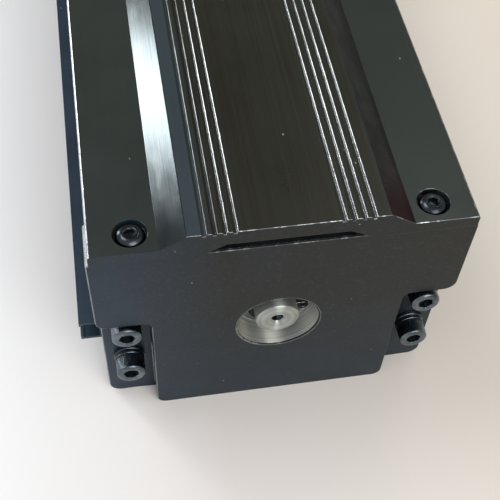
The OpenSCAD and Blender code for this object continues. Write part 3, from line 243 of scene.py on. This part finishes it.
def turned_metal(name, base, dark, pitch_mm, roughness):
    """Bare metal turned on a lathe: rings round the screw's axis catch the light."""
    material, tree, shader = new_material(name)
    source = add(tree, "ShaderNodeTexCoord").outputs["Object"]
    from_axis = add(tree, "ShaderNodeMapping", {
        "Vector": source, "Location": (0, 0, -SCREW_Z)}).outputs[0]
    x, y, z = split(tree, from_axis)
    across = add(tree, "ShaderNodeCombineXYZ", {0: x, 1: z}).outputs[0]
    radius = add(tree, "ShaderNodeVectorMath", {0: across}, operation="LENGTH").outputs["Value"]
    unrolled = add(tree, "ShaderNodeCombineXYZ", {0: radius, 1: y}).outputs[0]
    rings = noise(tree, unrolled, per_mm(pitch_mm), 2.0)
    cloud = noise(tree, source, per_mm(9), 3.0)
    colour = mix_colour(tree, remap(tree, rings, 0.35, 0.65), linear(dark), linear(base))
    surface(tree, shader, colour, remap(tree, cloud, 0.3, 0.7, *roughness), 1.0)
    along_rings = add(tree, "ShaderNodeVectorMath", {0: (0, 1, 0), 1: from_axis},
                      operation="CROSS_PRODUCT").outputs[0]
    tree.links.new(along_rings, shader.inputs["Tangent"])
    shader.inputs["Anisotropic"].default_value = 0.95
    shader.inputs["Anisotropic Rotation"].default_value = 0.25
    relief(tree, shader, rings, 0.01, 0.6)
    return material


def worked_steel(name, base, dark, roughness, grain_mm=(0.4, 0.4, 0.4)):
    """Metal with an even worked or treated surface, slightly mottled."""
    material, tree, shader = new_material(name)
    grain = noise(tree, object_point(tree, tuple(per_mm(g) for g in grain_mm)), 1.0, 3.0)
    cloud = noise(tree, object_point(tree), per_mm(5), 3.0)
    colour = mix_colour(tree, remap(tree, cloud, 0.3, 0.7), linear(dark), linear(base))
    surface(tree, shader, colour, remap(tree, grain, 0.3, 0.7, *roughness), 1.0)
    relief(tree, shader, grain, 0.01, 0.5)
    return material


def rubbed_edge(name):
    """Anodised edges where handling has rubbed short stretches down to bare metal. Some of its
    places, chosen by side and position, make painted glints.
    """
    material, tree, shader = new_material(name)
    patch = noise(tree, object_point(tree), per_mm(2.5), 4.0, 0.7)
    bare = remap(tree, patch, 0.5, 0.68)
    colour = mix_colour(tree, bare, linear("#5d6368"), linear("#dcdfe1"))
    surface(tree, shader, colour, remap(tree, patch, 0.3, 0.7, 0.35, 0.25), 1.0)
    relief(tree, shader, patch, 0.03, 0.6)
    return material


def moulded(name, base, worn, roughness=(0.4, 0.6)):
    """Moulded plastic or rubber with a fine spark-eroded grain."""
    material, tree, shader = new_material(name)
    grain = noise(tree, object_point(tree), per_mm(0.4), 2.0)
    cloud = noise(tree, object_point(tree), per_mm(6), 3.0)
    colour = mix_colour(tree, remap(tree, cloud, 0.3, 0.7), linear(base), linear(worn))
    surface(tree, shader, colour, remap(tree, cloud, 0.3, 0.7, *roughness))
    relief(tree, shader, grain, 0.03, 0.6)
    return material


# The block's last colour, olive, is the far end of a painted cast of cool light from the left.
BLOCK = anodised_block("anodised_aluminium_blasted", "#192b3a", "#23292c", "#111511")
BASE = anodised_block("anodised_aluminium_extruded", "#2a3947", "#344352")
TABLE = anodised_block("anodised_aluminium_milled", "#23262a", "#2c3034")
COVER = extruded_cover("anodised_cover_extrusion")
FACET = polished_anodised("anodised_diamond_cut")
BORE = turned_metal("bare_aluminium_turned", "#dfe0da", "#b9bbb3", 0.5, (0.42, 0.5))
SHAFT = turned_metal("ground_steel_turned", "#cdd3ce", "#9da39f", 0.3, (0.38, 0.46))
GROUND = worked_steel("ground_bearing_steel", "#cfd2d4", "#b9bcbe", (0.16, 0.28), (0.4, 30, 0.4))
BEARER = worked_steel("ground_guide_block_steel", "#8d9195", "#7f8488", (0.26, 0.36), (0.4, 12, 0.4))
NUT_STEEL = worked_steel("honed_nut_steel", "#a9adb0", "#8f9396", (0.25, 0.4))
OXIDE = worked_steel("blackened_screw_steel", "#747d84", "#4b545b", (0.22, 0.34))
# Also put in the screw's centre hole, as painted shade.
BUTTON_STEEL_AND_HOLE_SHADE = worked_steel("blackened_button_screw_steel", "#4d5357", "#34393d", (0.18, 0.28))
EDGE = worked_steel("cut_bare_edge", "#d3d6d8", "#a9adb0", (0.2, 0.32))
# A darker copy of the cut-edge metal: painted shade, dimming the glints on the edges it is put on.
PAINTED_SHADE_CUT_EDGE = worked_steel("cut_groove_lip", "#85898b", "#63686a", (0.2, 0.32), (0.4, 40, 0.4))
# Rubbed edges, put in places chosen for painted glints as well as for wear.
WORN_AND_PAINTED_GLINT = rubbed_edge("rubbed_anodised_edge")
SPRING = worked_steel("phosphated_spring_steel", "#3a3c3e", "#26282a", (0.35, 0.5))
ZINC = worked_steel("zinc_plated_steel", "#b9bec4", "#9a9fa6", (0.22, 0.38))
PLAIN = worked_steel("clear_anodised_aluminium", "#bcbfc1", "#b3b6b9", (0.34, 0.42), (0.3, 8, 0.3))
RUBBER = moulded("moulded_rubber", "#17181a", "#202224", (0.55, 0.75))
SPIDER = moulded("moulded_polyurethane", "#a5160f", "#b92318", (0.35, 0.5))
CAPS = moulded("moulded_green_plastic", "#175238", "#1d6145")
WIPER = moulded("machined_white_plastic", "#d9d5c8", "#c9c4b5")


# ----------------------------------------------------------------- pieces

def finish_mesh(piece, sharp_degrees=32):
    """Smooth shading that keeps edges sharper than the given angle."""
    mesh = piece.data
    mesh.polygons.foreach_set("use_smooth", [True] * len(mesh.polygons))
    mesh.set_sharp_from_angle(angle=math.radians(sharp_degrees))


def link(piece):
    """Puts an object in the scene."""
    bpy.context.scene.collection.objects.link(piece)
    return piece


def apply_modifiers(piece):
    """Turns a piece with live modifiers into a plain mesh."""
    depsgraph = bpy.context.evaluated_depsgraph_get()
    baked = bpy.data.meshes.new_from_object(piece.evaluated_get(depsgraph))
    piece.modifiers.clear()
    old = piece.data
    piece.data = baked
    bpy.data.meshes.remove(old)


def stand_for(piece, *node_names):
    """Hands a finished piece to the frame in place of the solids that it dresses."""
    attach(piece, frame["nodes"][node_names[0]]["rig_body"])
    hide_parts(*node_names)


def merged_copy(node_name, materials):
    """A solid's mesh in other materials, with the facets of each flat face merged."""
    mesh = frame["nodes"][node_name].data.copy()
    mesh.materials.clear()
    for material in materials:
        mesh.materials.append(material)
    work = bmesh.new()
    work.from_mesh(mesh)
    bmesh.ops.remove_doubles(work, verts=work.verts, dist=WELD)
    bmesh.ops.dissolve_limit(
        work, angle_limit=math.radians(0.8), verts=work.verts, edges=work.edges,
        delimit={"NORMAL"}, use_dissolve_boundaries=False)
    for face in work.faces:
        face.material_index = 0
    work.to_mesh(mesh)
    work.free()
    if "custom_normal" in mesh.attributes:
        mesh.attributes.remove(mesh.attributes["custom_normal"])
    return mesh


def keep_inside(mesh, node_name):
    """Brings points that a wide bevel pushed out back into the box of its solid."""
    corners = frame["nodes"][node_name].data.vertices
    box = [[pick(vert.co[axis] for vert in corners) for pick in (min, max)] for axis in range(3)]
    for vert in mesh.vertices:
        vert.co = [min(max(value, least), most) for value, (least, most) in zip(vert.co, box)]


def dressed(node_name, materials, bevel_mm, choose=None, angle=35, clamped=True):
    """A copy of a solid with merged faces, and rounded edges where they are sharper than angle.

    choose gives each face's material from its middle, its normal and whether
    it belongs to a rounded edge, or None for the first material. An unclamped
    bevel keeps its width where small features would narrow it.
    """
    piece = link(bpy.data.objects.new(node_name + "_shell", merged_copy(node_name, materials)))
    rounding = piece.modifiers.new("rounding", "BEVEL")
    rounding.width = bevel_mm * MM
    rounding.segments = 2
    rounding.limit_method = "ANGLE"
    rounding.angle_limit = math.radians(angle)
    rounding.material = 1 if choose else 0
    rounding.use_clamp_overlap = clamped
    finish_mesh(piece, 50)
    even = piece.modifiers.new("even", "WEIGHTED_NORMAL")
    even.mode = "FACE_AREA"
    even.weight = 100
    even.keep_sharp = True
    apply_modifiers(piece)
    keep_inside(piece.data, node_name)
    if choose:
        for face in piece.data.polygons:
            zone = choose(face.center, face.normal, face.material_index == 1)
            face.material_index = 0 if zone is None else materials.index(zone)
    stand_for(piece, node_name)


def plain(radius):
    """The same radius all round."""
    return lambda angle: radius


def hexagon(corner_radius):
    """The radius of a hexagon, given its corner's."""
    inner = corner_radius * math.cos(math.pi / 6)
    return lambda angle: inner / math.cos((angle + math.pi / 6) % (math.pi / 3) - math.pi / 6)


def knurled(radius, depth, step):
    """A straight knurl: every second point of the lathe's ring is sunk."""
    return lambda angle: radius - depth * (round(angle / step) % 2)


def lathe(name, rings, count, closed=False):
    """A turned mesh round Z. rings holds (height, radius function) pairs in millimetres."""
    work = bmesh.new()
    loops = []
    for height, radius in rings:
        if radius(0.1) == 0:
            loops.append([work.verts.new((0, 0, height * MM))] * count)
            continue
        loop = []
        for i in range(count):
            angle = 2 * math.pi * i / count
            r = radius(angle) * MM
            loop.append(work.verts.new((r * math.cos(angle), r * math.sin(angle), height * MM)))
        loops.append(loop)
    pairs = list(zip(loops, loops[1:]))
    if closed:
        pairs.append((loops[-1], loops[0]))
    for low_loop, high_loop in pairs:
        for i in range(count):
            k = (i + 1) % count
            corners = [low_loop[i], low_loop[k], high_loop[k], high_loop[i]]
            work.faces.new(list(dict.fromkeys(corners)))
    bmesh.ops.recalc_face_normals(work, faces=work.faces)
    mesh = bpy.data.meshes.new(name)
    work.to_mesh(mesh)
    work.free()
    return mesh


def islands(node_name):
    """The (low, high) corners of each separate solid of a node, in metres."""
    work = bmesh.new()
    work.from_mesh(frame["nodes"][node_name].data)
    bmesh.ops.remove_doubles(work, verts=work.verts, dist=WELD)
    work.verts.index_update()
    seen = set()
    boxes = []
    for start in work.verts:
        if start.index in seen:
            continue
        seen.add(start.index)
        stack = [start]
        members = []
        while stack:
            vert = stack.pop()
            members.append(vert.co.copy())
            for edge in vert.link_edges:
                other = edge.other_vert(vert)
                if other.index not in seen:
                    seen.add(other.index)
                    stack.append(other)
        low_corner = Vector([min(c[k] for c in members) for k in range(3)])
        high_corner = Vector([max(c[k] for c in members) for k in range(3)])
        boxes.append((low_corner, high_corner))
    work.free()
    return sorted(boxes, key=lambda b: tuple(round(v, 4) for v in b[0]))


def make_repeat_tree():
    """Geometry nodes: copies one piece onto points that carry a turn each."""
    tree = bpy.data.node_groups.new("repeat_on_points", "GeometryNodeTree")
    for label, kind in (("Points", "Geometry"), ("Piece", "Object"), ("Material", "Material")):
        tree.interface.new_socket(label, in_out="INPUT", socket_type="NodeSocket" + kind)
    tree.interface.new_socket("Copies", in_out="OUTPUT", socket_type="NodeSocketGeometry")
    given = add(tree, "NodeGroupInput").outputs
    piece = add(tree, "GeometryNodeObjectInfo", {"Object": given["Piece"]})
    turn = add(tree, "GeometryNodeInputNamedAttribute", {"Name": "turn"}, data_type="FLOAT_VECTOR")
    copies = add(tree, "GeometryNodeInstanceOnPoints", {
        "Points": given["Points"], "Instance": piece.outputs["Geometry"],
        "Rotation": turn.outputs["Attribute"]})
    real = add(tree, "GeometryNodeRealizeInstances", {0: copies.outputs[0]})
    skin = add(tree, "GeometryNodeSetMaterial", {0: real.outputs[0], "Material": given["Material"]})
    add(tree, "NodeGroupOutput", {0: skin.outputs[0]})
    return tree


REPEAT = make_repeat_tree()
AXES = {"-Y": Vector((0, -1, 0)), "+Y": Vector((0, 1, 0)), "+Z": Vector((0, 0, 1))}


def top_places(node_name, axis):
    """The middle of each solid's end face that looks along axis."""
    k = "XYZ".index(axis[1])
    places = []
    for low_corner, high_corner in islands(node_name):
        place = (low_corner + high_corner) / 2
        place[k] = (high_corner if axis[0] == "+" else low_corner)[k]
        places.append(place)
    return places


def repeat(node_name, mesh, material, axis):
    """Puts a copy of a mesh, its Z along axis, on the end of each of a node's solids.

    Each copy is turned round its own axis, as fasteners never stop alike.
    """
    places = top_places(node_name, axis)
    model = bpy.data.objects.new(mesh.name, mesh)
    points = bpy.data.meshes.new(node_name + "_places")
    points.from_pydata([tuple(p) for p in places], [], [])
    turns = points.attributes.new("turn", "FLOAT_VECTOR", "POINT")
    upright = AXES[axis].to_track_quat("Z", "Y")
    for i, item in enumerate(turns.data):
        item.vector = (upright @ Quaternion((0, 0, 1), 2.4 * i + 0.3)).to_euler()
    piece = link(bpy.data.objects.new(node_name + "_set", points))
    modifier = piece.modifiers.new("repeat", "NODES")
    modifier.node_group = REPEAT
    sockets = {item.name: item.identifier for item in REPEAT.interface.items_tree}
    modifier[sockets["Piece"]] = model
    modifier[sockets["Material"]] = material
    apply_modifiers(piece)
    bpy.data.objects.remove(model)
    finish_mesh(piece, 30)
    stand_for(piece, node_name)


# Socket head and button head screws: radii of the shank, the head and the hexagon's
# corners, and the head's height, in millimetres, and the teeth of the head's knurl.
M6 = {"shank_r": 2.95, "head_r": 5, "head_h": 6, "hex_r": 2.75, "teeth": 40}
M4 = {"shank_r": 1.95, "head_r": 3.5, "head_h": 4, "hex_r": 1.7, "teeth": 30}
M3 = {"shank_r": 1.45, "head_r": 2.75, "head_h": 3, "hex_r": 1.45, "teeth": 24}
M5_BUTTON = {"shank_r": 2.45, "head_r": 4.75, "head_h": 2.75, "hex_r": 1.75}


def length_mm(node_name, axis):
    """How long the first solid of a node is along axis."""
    low_corner, high_corner = islands(node_name)[0]
    return (high_corner - low_corner)["XYZ".index(axis[1])] * 1000


def cap_screws(node_name, axis, shank_r, head_r, head_h, hex_r, teeth):
    """Socket head cap screws, knurled round the head, in place of a node's plain ones."""
    length = length_mm(node_name, axis)
    count = teeth * 2
    grip = knurled(head_r, 0.13, 2 * math.pi / count)
    rings = [
        (-length, plain(0)), (-length, plain(shank_r - 0.5)), (-length + 0.5, plain(shank_r)),
        (-head_h, plain(shank_r)), (-head_h, plain(head_r - 0.3)), (-head_h + 0.25, grip),
        (-0.95, grip), (-0.75, plain(head_r - 0.04)), (-0.5, plain(head_r - 0.15)),
        (-0.27, plain(head_r - 0.36)), (-0.1, plain(head_r - 0.66)), (-0.02, plain(head_r - 1.0)),
        (0, plain(head_r - 1.3)), (0, plain(hex_r + 0.45)), (-0.1, plain(hex_r + 0.16)),
        (-0.4, hexagon(hex_r)), (-head_h * 0.5, hexagon(hex_r)),
        (-head_h * 0.56, plain(hex_r * 0.5)), (-head_h * 0.58, plain(0))]
    repeat(node_name, lathe(node_name + "_piece", rings, count), OXIDE, axis)


def button_screws(node_name, axis, shank_r, head_r, head_h, hex_r):
    """Button head screws: a domed head over a short straight rim."""
    length = length_mm(node_name, axis)
    rim, flat, bend, steps = 0.25, hex_r + 0.75, 1.25, 8
    rings = [(-length, plain(0)), (-length, plain(shank_r)), (-head_h, plain(shank_r)),
             (-head_h, plain(head_r - 0.1))]
    for i in range(steps + 1):
        t = bend * i / steps
        rise = (head_h - rim) * math.sin(t) / math.sin(bend)
        inward = (head_r - flat) * (1 - math.cos(t)) / (1 - math.cos(bend))
        rings.append((rim - head_h + rise, plain(head_r - inward)))
    rings += [(-0.02, plain(hex_r + 0.3)), (-0.12, plain(hex_r + 0.1)), (-0.35, hexagon(hex_r)),
              (-head_h * 0.6, hexagon(hex_r)), (-head_h * 0.68, plain(0))]
    repeat(node_name, lathe(node_name + "_piece", rings, 72), BUTTON_STEEL_AND_HOLE_SHADE, axis)


def flat_washers(node_name, axis, outer_r, inner_r, thick):
    """Turned washers with eased outer edges."""
    rings = [(0, plain(inner_r + 0.1)), (0, plain(outer_r - 0.15)), (-0.15, plain(outer_r)),
             (-thick + 0.15, plain(outer_r)), (-thick, plain(outer_r - 0.15)),
             (-thick, plain(inner_r))]
    mesh = lathe(node_name + "_piece", rings, 64, closed=True)
    repeat(node_name, mesh, OXIDE, axis)


def spring_washers(node_name, axis, outer_r, inner_r, thick):
    """Split rings of square wire, cut through and slightly sprung."""
    # The wire's outline: radius, and height as a share of the washer's.
    section = [(inner_r, 0.12), (inner_r + 0.12, 0), (outer_r - 0.12, 0), (outer_r, 0.12),
               (outer_r, 0.85), (outer_r - 0.12, 0.97), (inner_r + 0.12, 0.97), (inner_r, 0.85)]
    cut_degrees, spring, steps = 10, 0.03, 64
    work = bmesh.new()
    loops = []
    for i in range(steps + 1):
        angle = math.radians(cut_degrees / 2 + (360 - cut_degrees) * i / steps)
        rise = spring * i / steps
        loops.append([work.verts.new((r * MM * math.cos(angle), r * MM * math.sin(angle),
                                      thick * MM * (rise - 1 + h * 0.97)))
                      for r, h in section])
    for first, second in zip(loops, loops[1:]):
        for i in range(len(section)):
            k = (i + 1) % len(section)
            work.faces.new([first[i], first[k], second[k], second[i]])
    work.faces.new(loops[0])
    work.faces.new(loops[-1])
    bmesh.ops.recalc_face_normals(work, faces=work.faces)
    mesh = bpy.data.meshes.new(node_name + "_piece")
    work.to_mesh(mesh)
    work.free()
    repeat(node_name, mesh, OXIDE, axis)


SLANT = 0.3            # a face leans along an axis when its normal's share is above this
CROWN_HALF = 30 * MM   # half the width of the cover's crown, with its grooves
FLANGE_HALF = 55 * MM  # beyond this only the cover's side chamfers lie
BORE_REACH = 16.5 * MM


def cover_finish_and_painted_glints(middle, normal, rounded):
    """The slopes and the grooves are cut bright, and edges are rubbed. Where the bright metals go is
    painted light: the left-facing groove walls, brightest on the innermost groove, and the left
    outer chamfer and edge take cut metal, their right-facing twins the polished face and rubbed
    metal; crosswise top edges are dark left of the crown, rubbed from -8 mm to 52 mm, dimmer
    elsewhere.
    """
    sloped = abs(normal.x) > SLANT and normal.z > SLANT
    lengthwise = abs(normal.y) < SLANT
    if lengthwise and abs(middle.x) < CROWN_HALF:
        if not sloped or (rounded and normal.x > 0):
            return COVER
        # Painted highlight: left-facing groove walls take cut metal, the innermost groove's the
        # brightest, while right-facing walls keep the polished face.
        if normal.x > 0:
            return FACET
        return EDGE if middle.x > -19.5 * MM else PAINTED_SHADE_CUT_EDGE
    if lengthwise and rounded:
        # Painted highlight: the left outer edge, facing the window, takes bright cut metal; the
        # right one takes rubbed metal.
        if normal.x < -SLANT and middle.x < -FLANGE_HALF:
            return EDGE
        return FACET if abs(middle.x) < FLANGE_HALF else WORN_AND_PAINTED_GLINT
    if rounded:
        # Painted glints on the crosswise top edges: dark anodised left of the crown and on faces
        # turned down, rubbed metal from -8 mm to 52 mm, the dimmer cut metal elsewhere.
        if normal.z < 0.2 or middle.x < -CROWN_HALF:
            return BLOCK
        return WORN_AND_PAINTED_GLINT if -8 * MM < middle.x < 52 * MM else PAINTED_SHADE_CUT_EDGE
    if sloped:
        # Painted highlight: the left outer chamfer takes bright cut metal, the right one the
        # polished face.
        return EDGE if middle.x < -FLANGE_HALF else FACET
    return BLOCK if abs(normal.y) > 0.9 else COVER


def block_finish_and_painted_glints(middle, normal, rounded):
    """The bearing bore is bare, and the chamfered top edges are cut bright. Where the bright metals
    go is painted light: the bore's bevel is rubbed metal left of 2 mm only, the top-left chamfer
    bright cut metal, the top front edge rubbed only within 31 mm of the middle, the other front
    edges dimmer cut metal except those facing right.
    """
    if math.hypot(middle.x, middle.z - SCREW_Z) < BORE_REACH and abs(normal.y) < 0.9:
        if abs(normal.y) < SLANT:
            return BORE
        # Painted highlight: the bevel is rubbed metal left of 2 mm and dark anodised to the right.
        return WORN_AND_PAINTED_GLINT if middle.x < 2 * MM else BLOCK
    # Painted highlight: the top-left chamfer, facing the window, is bright cut metal; the right one
    # takes rubbed metal.
    if normal.x < -SLANT and normal.z > SLANT:
        return EDGE
    if rounded and normal.y < -SLANT:
        if normal.z > SLANT:
            # Painted glint and shade: the top front edge is rubbed metal within 31 mm of the middle
            # and dark anodised beyond.
            return WORN_AND_PAINTED_GLINT if abs(middle.x) < 31 * MM else BLOCK
        # Painted highlight: the other front edges take the dimmer cut metal, except those facing
        # right, which stay dark anodised.
        return BLOCK if normal.x > SLANT else PAINTED_SHADE_CUT_EDGE
    chamfered = normal.z > SLANT and abs(normal.x) + abs(normal.y) > SLANT
    return WORN_AND_PAINTED_GLINT if rounded or chamfered else BLOCK


def bright_edges(middle, normal, rounded):
    """Hardened parts are ground on their faces and polished by use along their edges."""
    return EDGE if rounded else None


def threaded_screw():
    """The screw with its ball track: a round groove along a right-handed helix.

    The groove's mesh follows the helix, so that its edges stay crisp.
    """
    lead = 10 * MM
    around = 48
    centre_hole_r = 2.1 * MM
    # Along the screw and into it, in millimetres, over one lead.
    track = [(0, 0), (2.8, 0), (3.05, 0.12), (3.4, 0.6), (4.0, 1.06), (5.0, 1.25), (6.0, 1.06),
             (6.6, 0.6), (6.95, 0.12), (7.2, 0)]
    work = bmesh.new()
    work.from_mesh(frame["nodes"]["screw_shaft"].data)
    bmesh.ops.remove_doubles(work, verts=work.verts, dist=WELD)

    def reach(point):
        return math.hypot(point.x, point.z - SCREW_Z)

    outer = max(reach(v.co) for v in work.verts)
    skin = [f for f in work.faces if all(reach(v.co) > outer - 0.02 * MM for v in f.verts)]
    start = min(v.co.y for f in skin for v in f.verts)
    end = max(v.co.y for f in skin for v in f.verts)
    bmesh.ops.delete(work, geom=skin, context="FACES")
    turns = int((end - start) / lead) + 3
    rows = turns * len(track)
    grid = []
    for i in range(around):
        angle = 2 * math.pi * i / around
        column = []
        for j in range(rows + len(track)):
            along, depth = track[j % len(track)]
            y = start - lead + (j // len(track)) * lead + along * MM + lead * i / around
            y = min(max(y, start), end)
            r = outer - depth * MM
            column.append(work.verts.new((r * math.sin(angle), y, SCREW_Z + r * math.cos(angle))))
        grid.append(column)
    for i in range(around):
        following = grid[(i + 1) % around]
        # After a whole turn the groove meets itself one lead further on.
        skip = len(track) if i == around - 1 else 0
        for j in range(rows - 1):
            if j + 1 + skip >= len(following):
                continue
            work.faces.new([grid[i][j], grid[i][j + 1], following[j + 1 + skip],
                            following[j + skip]])
    bmesh.ops.remove_doubles(work, verts=work.verts, dist=2 * WELD)
    bmesh.ops.delete(work, geom=[v for v in work.verts if not v.link_faces], context="VERTS")
    bmesh.ops.recalc_face_normals(work, faces=work.faces)
    # Painted shade: the centre hole takes the darker blackened steel, standing for the shade in its
    # depth.
    for face in work.faces:
        if reach(face.calc_center_median()) < centre_hole_r:
            face.material_index = 1
    mesh = bpy.data.meshes.new("screw_shaft_track")
    work.to_mesh(mesh)
    work.free()
    mesh.materials.append(SHAFT)
    mesh.materials.append(BUTTON_STEEL_AND_HOLE_SHADE)
    piece = link(bpy.data.objects.new("screw_shaft_track", mesh))
    finish_mesh(piece, 30)
    stand_for(piece, "screw_shaft")


dressed("top_cover", [COVER, FACET, EDGE, WORN_AND_PAINTED_GLINT, BLOCK, PAINTED_SHADE_CUT_EDGE], 0.2, cover_finish_and_painted_glints, 20, clamped=False)
dressed("front_block", [BLOCK, BORE, EDGE, WORN_AND_PAINTED_GLINT, PAINTED_SHADE_CUT_EDGE], 0.4, block_finish_and_painted_glints, clamped=False)
dressed("rear_block", [BLOCK, BORE, EDGE, WORN_AND_PAINTED_GLINT, PAINTED_SHADE_CUT_EDGE], 0.4, block_finish_and_painted_glints)
for name, material, bevel_mm in (
        ("base_profile", BASE, 0.3), ("motor_housing", BLOCK, 0.4), ("sensor_rail", BASE, 0.2),
        ("carriage_table", TABLE, 0.3), ("left_riser", TABLE, 0.3), ("right_riser", TABLE, 0.3),
        ("carriage_saddle", PLAIN, 0.3), ("bearing_cover", BLOCK, 0.25),
        ("access_cover", PLAIN, 0.25), ("bumpers", RUBBER, 0.25), ("guide_end_caps", CAPS, 0.25),
        ("ball_nut", NUT_STEEL, 0.25), ("nut_wipers", WIPER, 0.25), ("lock_nut", OXIDE, 0.25),
        ("coupling_hub_screw_side", PLAIN, 0.25), ("coupling_hub_motor_side", PLAIN, 0.25),
        ("coupling_spider", SPIDER, 0.25), ("guide_block_front_left", BEARER, 0.25),
        ("guide_block_front_right", BEARER, 0.25), ("guide_block_rear_left", BEARER, 0.25),
        ("guide_block_rear_right", BEARER, 0.25), ("sensor_rail_nuts", ZINC, 0.25)):
    dressed(name, [material], bevel_mm)
for name, material in (("guide_rail_left", GROUND), ("guide_rail_right", GROUND),
                       ("front_circlip", SPRING), ("front_bearing_outer_ring", SHAFT),
                       ("front_bearing_inner_ring", SHAFT), ("bearing_spacer", SHAFT)):
    dressed(name, [material, EDGE], 0.12, bright_edges)
threaded_screw()
for name, axis, screw in (
        ("front_block_screws", "-Y", M6), ("rear_block_screws", "+Y", M6),
        ("motor_housing_screws", "+Y", M6), ("table_screws", "+Z", M4),
        ("bearing_cover_screws", "+Y", M4), ("rail_screws", "+Z", M3),
        ("guide_block_screws", "+Z", M3)):
    cap_screws(name, axis, **screw)
button_screws("cover_screws", "+Z", **M5_BUTTON)
for end, axis in (("front", "-Y"), ("rear", "+Y")):
    flat_washers(end + "_flat_washers", axis, 5.45, 3.3, 1.6)
for end, axis in (("front", "-Y"), ("rear", "+Y")):
    spring_washers(end + "_spring_washers", axis, 5.15, 3.3, 1.6)
for name in ("access_cover_screws", "sensor_rail_screws", "ball_nut_screws",
             "coupling_clamp_screws"):
    dressed(name, [OXIDE], 0.15)
# Bearing parts that are hard to see keep their solids, in materials of the same kinds.
CARRIED = {
    "front_bearing_shields": NUT_STEEL, "front_bearing_balls": GROUND,
    "rear_bearing_outer_rings": SHAFT, "rear_bearing_balls": GROUND,
    "rear_bearing_inner_rings": SHAFT,
}
for name, material in CARRIED.items():
    body = frame["nodes"][name]
    body.data.materials.clear()
    body.data.materials.append(material)


# --------------------------------------------------------- floor and light

def floor_material():
    """Pale matt board, warm on the right, with painted light and shade: whiter and cooler just left
    of the object, where the window's light falls, and greyer further left, which keeps the floor by
    the window lamps below white.
    """
    material, tree, shader = new_material("pale_matt_board")
    point = object_point(tree)
    x = split(tree, point)[0]
    # Painted light: whiter and cooler left of the object, where the window's light falls.
    colour = mix_colour(tree, remap(tree, x, -0.14, -0.02), linear("#fbfbfb"), linear("#e9e2dc"))
    colour = mix_colour(tree, remap(tree, x, 0.0, 0.16), colour, linear("#eee2d2"))
    # Painted shade: greyer further left, beside the window lamps, so that the floor there stays
    # below white.
    colour = mix_colour(tree, remap(tree, x, -0.11, -0.36), colour, linear("#bcbdbf"))
    tree.links.new(colour, shader.inputs["Base Color"])
    shader.inputs["Roughness"].default_value = 0.9
    relief(tree, shader, noise(tree, point, per_mm(1.2), 2.0), 0.02, 0.2)
    return material


def make_floor():
    """A wide board under the object."""
    mesh = bpy.data.meshes.new("floor")
    half = 5.0
    mesh.from_pydata([(-half, -half, 0), (half, -half, 0), (half, half, 0), (-half, half, 0)],
                     [], [(0, 1, 2, 3)])
    mesh.materials.append(floor_material())
    link(bpy.data.objects.new("floor", mesh))


def softbox(name, azimuth, elevation, distance, size, radiance, colour, aim=(0, 0, 0.05)):
    """A rectangular lamp. Azimuth is measured from +Y towards +X, in degrees.

    A grid narrows the beam, so that the floor away from the object stays below white. The
    power falls with the beam's share, which keeps the brightness seen along the axis.
    """
    az, el = math.radians(azimuth), math.radians(elevation)
    direction = Vector((math.sin(az) * math.cos(el), math.cos(az) * math.cos(el), math.sin(el)))
    half_beam = math.radians(55)
    data = bpy.data.lights.new(name, "AREA")
    data.shape = "RECTANGLE"
    data.size, data.size_y = size
    data.spread = 2 * half_beam
    data.energy = radiance * math.pi * size[0] * size[1] * (1 - half_beam / math.tan(half_beam))
    data.color = linear(colour)[:3]
    lamp = link(bpy.data.objects.new(name, data))
    lamp.location = Vector(aim) + direction * distance
    lamp.rotation_euler = direction.to_track_quat("Z", "Y").to_euler()


def make_world():
    """A grey room: pale to the camera, darker and warmer where the object mirrors it."""
    world = bpy.data.worlds.new("room")
    bpy.context.scene.world = world
    world.use_nodes = True
    tree = world.node_tree
    tree.nodes.clear()
    x, y, z = split(tree, add(tree, "ShaderNodeTexCoord").outputs["Generated"])
    back = mix_colour(tree, remap(tree, z, 0.45, 0.8), linear("#9c9f99"), linear("#35352f"))
    room = mix_colour(tree, remap(tree, y, -0.3, 0.6), linear("#d4d6da"), back)
    low_wall = mix_colour(tree, remap(tree, x, -0.35, -0.6), linear("#5c5b55"), linear("#f2f4f6"))
    room = mix_colour(tree, remap(tree, z, 0.05, 0.3), low_wall, room)
    rays = add(tree, "ShaderNodeLightPath")
    inside = add(tree, "ShaderNodeBackground", {"Color": room, "Strength": 1.0})
    seen = add(tree, "ShaderNodeBackground", {"Color": linear("#e6e4e1"), "Strength": 1.0})
    both = add(tree, "ShaderNodeMixShader", {
        0: rays.outputs["Is Camera Ray"], 1: inside.outputs[0], 2: seen.outputs[0]})
    output = add(tree, "ShaderNodeOutputWorld")
    tree.links.new(both.outputs[0], output.inputs["Surface"])


def make_camera():
    """A close view of the front end, from above and a little to the left."""
    data = bpy.data.cameras.new("camera")
    data.lens = 67.16
    data.sensor_width = 36
    data.shift_x = -0.0231
    data.shift_y = 0.0129
    data.clip_start = 0.01
    camera = link(bpy.data.objects.new("camera", data))
    camera.location = (-0.04775, -0.36937, 0.31726)
    camera.rotation_euler = [math.radians(a) for a in (36.017, -2.860, -9.777)]
    bpy.context.scene.camera = camera


make_floor()
make_world()
make_camera()
softbox("window", -41, 17, 1.5, (0.2, 0.72), 12.5, "#f8fbf7", (-0.035, -0.15, 0.1))
softbox("sill", -55, 5, 1.6, (0.95, 0.2), 4.0, "#f4f8ff", (-0.035, -0.15, 0.1))
softbox("skylight", -62, 62, 2.4, (1.3, 0.9), 5.7, "#f1f5ff")
softbox("ceiling", 156, 42, 3.0, (2.0, 2.0), 4.3, "#fffefa", (-0.3, -0.2, 0.05))
softbox("side_light", 37, 57, 3.0, (0.8, 0.8), 2.4, "#f4f4f0")
softbox("red_card", 56, 3, 0.9, (0.08, 0.14), 0.9, "#8a1030", (0.035, -0.19, 0.1))
bpy.context.scene.view_settings.view_transform = "Standard"
